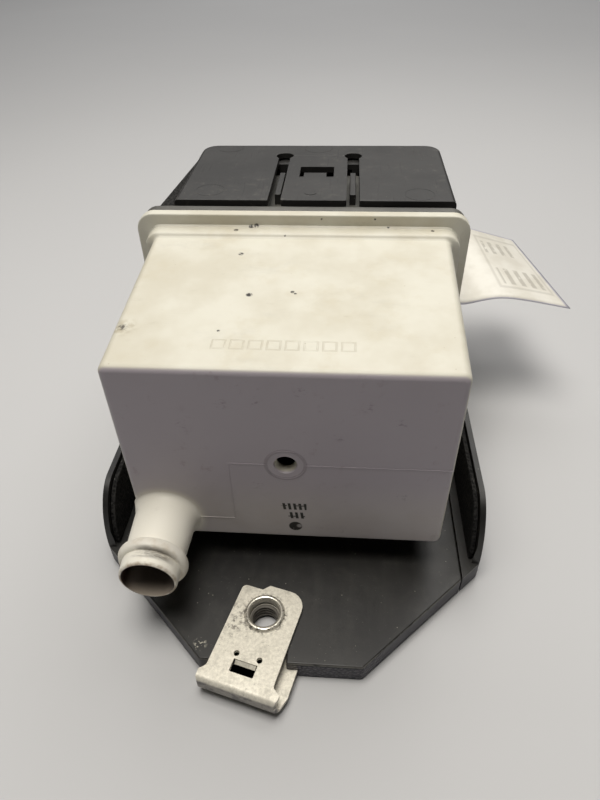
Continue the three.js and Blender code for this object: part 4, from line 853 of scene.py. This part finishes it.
def sideFoam():  # foam wedge on the cover's left flank
    low, high = span("cover_side_seal")
    bm = bmesh.new()
    prism(bm, [(high.x, low.y), (high.x, high.y), (high.x - 1.2, high.y), (low.x, low.y)], low.z, high.z)
    bmesh.ops.subdivide_edges(bm, edges=bm.edges, cuts=6, use_grid_fill=True)
    return bm


piece("side_foam", sideFoam(), paints["foam"], "vent", ["cover_side_seal"], edge=0.5)

# painted shade: the filter frame, grey plastic, takes the dark cover paint so that it reads as in shade behind the
# keyhole slots
for node, name, paint, slot in (("inlet_grille", "inlet_grille_moulding", "cover", "black_plastic"),
                                ("filter_frame", "filter_frame_moulding", "cover", "grey_plastic")):
    piece(name, fromCad(node), paints[paint], "vent", [node], edge=0.2, sharp=40)


def pleatedPad():  # filter felt folded into upright pleats
    low, high = span("filter_pad")
    bm = bmesh.new()
    pleats, fine = 16, 8
    count = pleats * fine
    bmesh.ops.create_grid(bm, x_segments=count, y_segments=4, size=1)
    depth = (high.y - low.y) / 2 - 0.9
    for v in bm.verts:
        turn = (v.co.x + 1) / 2 * pleats
        wave = abs((turn % 1) * 2 - 1) * 2 - 1
        v.co = (ductX + v.co.x * ((high.x - low.x) / 2 - 0.8), (low.y + high.y) / 2 + wave * depth,
                ventZ + v.co.y * ((high.z - low.z) / 2 - 0.5))
    made = bmesh.ops.solidify(bm, geom=bm.faces[:], thickness=0.7)
    return bm


piece("filter_pleats", pleatedPad(), paints["felt"], "vent", ["filter_pad"])
print("end cover made")


# ---- base: plate and rails with turned-down edges, foam pad and linings

base = {"nose": 21.3, "noseY": plateLow.y, "shoulderY": -52.8, "half": railHigh.x, "backY": railHigh.y, "round": 6.0,
        "lip": 2.0, "lipZ": 0.3, "plate": 3.0, "wall": 1.6, "wallNose": 12.1, "wallTop": railHigh.z, "foot": 49.9,
        "seam": 0.15, "lining": 1.2, "liningGap": 0.3, "liningDrop": 1.4}


def outlinePrism(bm, inset, z0, z1):
    b = base
    nose, half = b["nose"] - inset * 0.4, b["half"] - inset
    shoulder, back = b["shoulderY"] + inset * 0.4, b["backY"] - inset
    radius = max(b["round"] - inset, 0.6)
    prism(bm, [(-nose, b["noseY"] + inset), (nose, b["noseY"] + inset), (half, shoulder), (half, back), (-half, back),
               (-half, shoulder)], z0, z1, ((3, radius), (4, radius)), 10)


def ring(outer, inner, z0, z1):  # band between two insets of the base's outline
    bm, tool = bmesh.new(), bmesh.new()
    outlinePrism(bm, outer, z0, z1)
    outlinePrism(tool, inner, z0 - 1, z1 + 1)
    return combined(bm, tool, "DIFFERENCE")


def slab():  # plate with its edge turned down
    b = base
    bm, tool = bmesh.new(), bmesh.new()
    outlinePrism(bm, 0, b["lipZ"], floorZ)
    outlinePrism(tool, b["lip"], -1, floorZ - b["plate"])
    return combined(bm, tool, "DIFFERENCE")


def part(bm, x0, x1, y0, y1, z0=-1.0, z1=60.0):
    tool = bmesh.new()
    block(tool, x0, x1, y0, y1, z0, z1)
    return combined(bm, tool, "INTERSECT")


def wallShape(bm, drop, setback, z0):  # keeps what lies under a wall's side view: rounded at the front, then level
    b = base
    tool = bmesh.new()
    top, start = b["wallTop"] - drop, b["shoulderY"] + setback
    round_ = bmesh.ops.create_cone(tool, cap_ends=True, segments=96, radius1=1, radius2=1, depth=2 * b["half"] + 4,
                                   matrix=Matrix.Rotation(math.pi / 2, 4, "Y"))["verts"]
    bmesh.ops.scale(tool, vec=(1, b["wallNose"], top - floorZ), verts=round_)
    bmesh.ops.translate(tool, vec=(0, start + b["wallNose"], floorZ), verts=round_)
    rest = bmesh.new()
    block(rest, -b["half"] - 2, b["half"] + 2, start + b["wallNose"], b["backY"] + 2, floorZ - 30, top)
    return combined(bm, combined(tool, rest, "UNION"), "INTERSECT")


def basePlate():
    b = base
    bm = part(slab(), -b["foot"] + b["seam"], b["foot"] - b["seam"], b["noseY"] - 2, b["backY"] - 5.7 - b["seam"])
    tools = bmesh.new()
    prism(tools, [(-17.0, b["noseY"] - 3), (1.5, b["noseY"] - 3), (1.5, b["noseY"] + 4), (-17.0, b["noseY"] + 4)], -2,
          floorZ + 2, ((2, 1.5), (3, 1.5)))
    rod(tools, 6, floorZ + 4, (clipHole.x, clipHole.y, -2), "Z", 56)
    for y in (coverLow.y + 10.2, frameHigh.y - 6):
        for side in (-1, 1):
            rod(tools, 1.8, floorZ + 4, (ductX + side * 30, y, -2), "Z", 24)
    return combined(bm, tools, "DIFFERENCE")


def sideRail(side):
    b = base
    x0, x1 = sorted((side * (b["foot"] + b["seam"]), side * (b["half"] + 2)))
    foot = part(slab(), x0, x1, b["noseY"] - 2, b["backY"] + 2)
    wall = wallShape(part(ring(0, b["wall"], floorZ - 0.5, b["wallTop"]), x0, x1, b["noseY"] - 2, b["backY"] + 2), 0, 0, 0)
    return combined(foot, wall, "UNION")


def rearRail():
    b = base
    x = b["foot"] - b["seam"]
    y = b["backY"] - 5.7 + b["seam"]
    foot = part(slab(), -x, x, y, b["backY"] + 2)
    wall = part(ring(0, b["wall"], floorZ - 0.5, b["wallTop"]), -x, x, y, b["backY"] + 2)
    return combined(foot, wall, "UNION")


piece("base_plate_moulding", basePlate(), paints["tray"], "vent", ["base_plate"], edge=0.6,
      segments=3, sharp=40)
for side, end in ((-1, "left"), (1, "right")):
    piece(f"rail_moulding_{end}", sideRail(side), paints["tray"], "vent", [f"side_rail_{end}"],
          edge=0.6, segments=3, sharp=40)
piece("rail_moulding_rear", rearRail(), paints["tray"], "vent", ["rear_rail"], edge=0.6, segments=3,
      sharp=40)


def lining(side):
    b = base
    outer = b["wall"] + b["liningGap"]
    band = ring(outer, outer + b["lining"], floorZ + 0.3, b["wallTop"] - b["liningDrop"])
    half = b["foot"] - b["liningGap"]
    if side == 0:
        return part(band, -half, half, b["backY"] - 6, b["backY"])
    x0, x1 = sorted((side * (half + 0.3), side * b["half"]))
    return wallShape(part(band, x0, x1, b["noseY"], b["backY"]), b["liningDrop"], b["liningDrop"], 0)


for side, end in ((-1, "left"), (1, "right"), (0, "rear")):
    made = piece(f"lining_foam_{end}", lining(side), paints["foam"], "vent", [f"rail_lining_{end}"], edge=0.25)
for node, name in (("base_pad", "base_foam"), ("cover_pad", "cover_foam")):
    piece(name, fromCad(node), paints["foam"], "vent", [node], edge=0.5, sharp=50)
print("base made")


# ---- clip nut: folded sheet steel with a raised collar, and its nut



def folded():  # side view of the strip, swept across; drawn about the hole
    c = clip
    bm = bmesh.new()
    r, mid = c["foldR"] - c["steel"] / 2, c["steel"] / 2
    ends = [bm.verts.new((x, c["back"] + 1, clipTop - mid)) for x in (-20, 20)]
    strip = [bm.edges.new(ends)]

    def run(y, z):
        grown = bmesh.ops.extrude_edge_only(bm, edges=strip)["geom"]
        verts = [g for g in grown if isinstance(g, bmesh.types.BMVert)]
        for v in verts:
            v.co.y, v.co.z = y, z
        strip[:] = [g for g in grown if isinstance(g, bmesh.types.BMEdge)]

    for angle in arc(90, 180, 8):
        run(-c["front"] + c["foldR"] + r * math.cos(angle), clipTop - c["foldR"] + r * math.sin(angle))
    for angle in arc(180, 270, 8):
        run(-c["front"] + c["foldR"] + r * math.cos(angle), clipBottom + c["foldR"] + r * math.sin(angle))
    run(c["lowBack"], clipBottom + mid)
    bmesh.ops.recalc_face_normals(bm, faces=bm.faces)
    bmesh.ops.translate(bm, vec=(0, 0, 0), verts=bm.verts)
    mesh = bpy.data.meshes.new("strip")
    bm.to_mesh(mesh)
    bm.free()
    work = bpy.data.objects.new("strip", mesh)
    bpy.context.scene.collection.objects.link(work)
    thick = work.modifiers.new("thick", "SOLIDIFY")
    thick.thickness, thick.offset, thick.use_even_offset = c["steel"], 0.0, True
    result = bmesh.new()
    result.from_object(work, bpy.context.evaluated_depsgraph_get())
    bpy.data.meshes.remove(mesh)
    bmesh.ops.recalc_face_normals(result, faces=result.faces)
    return result


def clipPlan():  # both leaves as seen from above
    c = clip
    bm = bmesh.new()
    middle = (clipTop + clipBottom) / 2
    front = -c["front"] - 1
    prism(bm, [(-c["foldLeft"] + 1.2, front), (c["foldRight"] - 1.2, front), (c["foldRight"], -c["neck"] - c["flare"] - 1),
               (c["foldRight"], -c["neck"] - c["flare"]), (c["right"], -c["neck"]), (c["right"], c["back"]),
               (-1.6, c["back"]), (-3.2, c["back"] - c["step"]), (-c["left"], c["back"] - c["step"]),
               (-c["left"], -c["neck"]), (-c["foldLeft"], -c["neck"] - c["flare"]), (-c["foldLeft"], -c["front"] + 0.8)],
          middle, clipTop + 3, ((5, 4.6), (8, 1.4), (4, 0.7), (9, 0.7)))
    low = bmesh.new()
    prism(low, [(-c["foldLeft"] + 1.2, front), (c["foldRight"] - 1.2, front), (c["foldRight"] + 0.4, -c["front"] + 1.6),
                (c["lowRight"], -c["front"] + 4.6), (c["lowRight"], c["lowBack"] + 2), (-c["foldLeft"], c["lowBack"] + 2),
                (-c["foldLeft"], -c["front"] + 0.8)], clipBottom - 2, middle + 0.1)
    return combined(bm, low, "UNION")


def springClip():
    c = clip
    leaf = combined(folded(), clipPlan(), "INTERSECT")
    collar = bmesh.new()
    rise = c["collarTall"]
    low, crest, dome = clipTop - c["steel"] + 0.1, c["holeR"] + c["dome"], c["dome"]
    profile = [(c["holeR"] - 0.4, low), (c["holeR"] - 0.4, clipTop + rise - dome)]
    profile += [(crest - dome * math.cos(a), clipTop + rise - dome + dome * math.sin(a)) for a in arc(0, 150, 9)]
    profile += [(c["collarR"] + 0.25, clipTop + 0.22), (c["collarR"] + 0.55, clipTop + 0.05), (c["collarR"] + 0.8, low)]
    spun(collar, profile, (0, 0, 0), "Z", 64)
    leaf = combined(leaf, collar, "UNION")
    tab = bmesh.new()
    made = block(tab, c["windowX"] - c["windowHalf"] + 0.4, c["windowX"] + c["windowHalf"] - 0.4, -3.1, 0, -0.8, 0)
    bmesh.ops.rotate(tab, verts=made, cent=(0, 0, 0), matrix=Matrix.Rotation(math.radians(34), 3, "X"))
    bmesh.ops.translate(tab, verts=made, vec=(0, -c["windowNear"] + 0.35, clipTop - 0.12))
    tools = bmesh.new()
    prism(tools, [(c["windowX"] - c["windowHalf"], -c["windowFar"]), (c["windowX"] + c["windowHalf"], -c["windowFar"]),
                  (c["windowX"] + c["windowHalf"], -c["windowNear"]), (c["windowX"] - c["windowHalf"], -c["windowNear"])],
          clipTop - 2.4, clipTop + 2, ((0, 0.3), (1, 0.3)))
    for side in (-1, 1):
        rod(tools, c["pilotR"], 4, (c["windowX"] + side * c["pilotHalf"], -c["pilotY"], clipTop - 2.4), "Z", 28)
    rod(tools, c["holeR"], 6, (0, 0, clipTop - 2.4), "Z", 64)
    rod(tools, c["nutNeck"], 3, (0, 0, clipBottom - 1), "Z", 48)
    leaf = combined(leaf, tools, "DIFFERENCE")
    return joined(leaf, tab)


def clipNut():
    bm = bmesh.new()
    low, high = nutLow.z, nutHigh.z
    bore, neck = 3.95, 4.5
    bmesh.ops.create_cone(bm, cap_ends=True, segments=6, radius1=6.0, radius2=6.0, depth=1.7,
                          matrix=Matrix.Translation((0, 0, low + 0.85)))
    collar = bmesh.new()
    rod(collar, neck, high - low - 0.4, (0, 0, low + 0.4), "Z", 56)
    tool = bmesh.new()
    rod(tool, bore, high - low + 4, (0, 0, low - 2), "Z", 56)
    return combined(combined(bm, collar, "UNION"), tool, "DIFFERENCE")


def nutThread():  # helical ridge inside the nut
    bm = bmesh.new()
    pitch, turns = 1.25, 4
    low = nutLow.z + 0.35
    verts = [bm.verts.new(p) for p in ((4.05, 0, low - 0.1), (3.45, 0, low + 0.42), (3.45, 0, low + 0.56), (4.05, 0, low + 1.0))]
    edges = [bm.edges.new(pair) for pair in zip(verts, verts[1:] + verts[:1])]
    steps = 36 * turns
    bmesh.ops.spin(bm, geom=verts + edges, cent=(0, 0, 0), axis=(0, 0, 1), dvec=(0, 0, pitch / 36),
                   angle=2 * math.pi * turns, steps=steps)
    bmesh.ops.holes_fill(bm, edges=[g for g in bm.edges if g.is_boundary])
    bmesh.ops.recalc_face_normals(bm, faces=bm.faces)
    return bm


def atHole(bm):  # from the clip's own place to its place on the base
    turn = Matrix.Rotation(math.radians(clip["turn"]), 4, "Z")
    bmesh.ops.transform(bm, matrix=Matrix.Translation((clipHole.x, clipHole.y, 0)) @ turn, verts=bm.verts)
    return bm


piece("spring_clip_strip", atHole(springClip()), paints["zinc"], "clip", ["spring_clip"], edge=0.14, sharp=45)
piece("clip_nut_body", atHole(clipNut()), paints["zinc"], "clip", ["clip_nut"], edge=0.2)
piece("clip_nut_thread", atHole(nutThread()), paints["zinc"], "clip")
print("clip nut made")


# ---- film tag that hangs from the cover's right flank

tag = {
    "front": ((0, 4.7, 17), (0.1, 4.7, 8), (1.6, 4.7, 1.4), (7.4, 4.7, -2.6), (22.5, 4.7, 0.2), (46, 5.3, -3.9)),
    "rear": ((0, 48, 25), (0.1, 48, 18), (1.6, 48, 12), (6, 48, 9), (15, 48.2, 6.5), (35.4, 55.8, -2)),
    "thick": 0.22,
}


def onCurve(points, t):  # smooth curve through listed points, t from 0 to 1
    place = min(t * (len(points) - 1), len(points) - 1.0001)
    i, u = int(place), place % 1
    a, b, c, d = (Vector(points[min(max(k, 0), len(points) - 1)]) for k in (i - 1, i, i + 1, i + 2))
    return 0.5 * (2 * b + (c - a) * u + (2 * a - 5 * b + 4 * c - d) * u * u + (3 * b - a - 3 * c + d) * u ** 3)


def tagSheet():
    bm = bmesh.new()
    layer = bm.loops.layers.uv.new("UVMap")
    bmesh.ops.create_grid(bm, x_segments=48, y_segments=16, size=0.5, calc_uvs=True)
    for face in bm.faces:
        for corner in face.loops:
            corner[layer].uv = (corner.vert.co.y + 0.5, corner.vert.co.x + 0.5)
    origin = Vector((coverHigh.x + 0.3, coverLow.y, ventZ))
    for v in bm.verts:
        along, across = v.co.x + 0.5, v.co.y + 0.5
        v.co = origin + onCurve(tag["front"], along).lerp(onCurve(tag["rear"], along), across)
    return bm


tagPiece = piece("tag_film", tagSheet(), paints["film"], "vent", ["tag"])
thicken = tagPiece.modifiers.new("thick", "SOLIDIFY")
thicken.thickness, thicken.offset = tag["thick"] * mm, -1.0
print("tag made")


# ---- CAD nodes that keep their own shape

kept = {"valve_plate": "box", "valve_flap": "cover", "flap_seal": "rubber", "flap_spring": "steel", "flap_pin": "steel"}
for number in range(1, 5):
    kept[f"valve_screw_{number}"] = "steel"
    kept[f"base_screw_{number}"] = "steel"
for node, paint in kept.items():
    mesh = frame["nodes"][node].data
    mesh.materials.clear()
    mesh.materials.append(paints[paint])


# ---- floor, light and camera

def floorSheet():
    p = Paint("floor")
    colour = p.mix(tone(190, 190, 191), tone(196, 196, 197), p.noise(300, 2))
    material = p.finish(colour, 0.9, None, Specular_IOR_Level=0.1)
    bm = bmesh.new()
    bmesh.ops.create_grid(bm, x_segments=1, y_segments=1, size=4)
    mesh = bpy.data.meshes.new("floor")
    bm.to_mesh(mesh)
    bm.free()
    made = bpy.data.objects.new("floor", mesh)
    bpy.context.scene.collection.objects.link(made)
    mesh.materials.append(material)


floorSheet()

lights = {  # place and target in metres, size, watts, colour
    "key": ((-0.05, -0.075, 0.72), (-0.02, -0.02, 0.05), 0.34, 4.4, (1.0, 0.965, 0.90)),
    "rear": ((0.16, 0.30, 0.62), (0.02, 0, 0.05), 0.40, 1.1, (1.0, 0.965, 0.91)),
    "room": ((0.0, 1.3, 1.2), (0.0, 1.2, 0.0), 1.6, 14, (1.0, 0.99, 0.97)),
}
for name, (place, target, size, power, colour) in lights.items():
    data = bpy.data.lights.new(name, "AREA")
    data.energy, data.size, data.color = power, size, colour
    lamp = bpy.data.objects.new(name, data)
    lamp.location = place
    lamp.rotation_euler = (Vector(target) - Vector(place)).to_track_quat("-Z", "Y").to_euler()
    bpy.context.scene.collection.objects.link(lamp)

world = bpy.data.worlds.new("studio")
world.use_nodes = True
world.node_tree.nodes["Background"].inputs[0].default_value = (0.93, 0.95, 1.0, 1)
world.node_tree.nodes["Background"].inputs[1].default_value = 0.03
bpy.context.scene.world = world

view = {"place": (0.013485, -0.159672, 0.158779), "yaw": -5.02, "pitch": 40.31, "roll": -1.57, "lens": 27.09}
yaw, pitch, roll = (math.radians(view[k]) for k in ("yaw", "pitch", "roll"))
forward = Vector((math.sin(yaw) * math.cos(pitch), math.cos(yaw) * math.cos(pitch), -math.sin(pitch)))
right = Vector((math.cos(yaw), -math.sin(yaw), 0))
up = right.cross(forward)
right, up = right * math.cos(roll) + up * math.sin(roll), up * math.cos(roll) - right * math.sin(roll)
lens = bpy.data.cameras.new("camera")
lens.lens, lens.sensor_width = view["lens"], 36
lens.clip_start, lens.clip_end = 0.01, 20
camera = bpy.data.objects.new("camera", lens)
camera.matrix_world = Matrix((
    (*[axis[0] for axis in (right, up, -forward)], view["place"][0]),
    (*[axis[1] for axis in (right, up, -forward)], view["place"][1]),
    (*[axis[2] for axis in (right, up, -forward)], view["place"][2]),
    (0, 0, 0, 1),
))
bpy.context.scene.collection.objects.link(camera)
bpy.context.scene.camera = camera
bpy.context.scene.view_settings.view_transform = "Standard"

print("scene made")
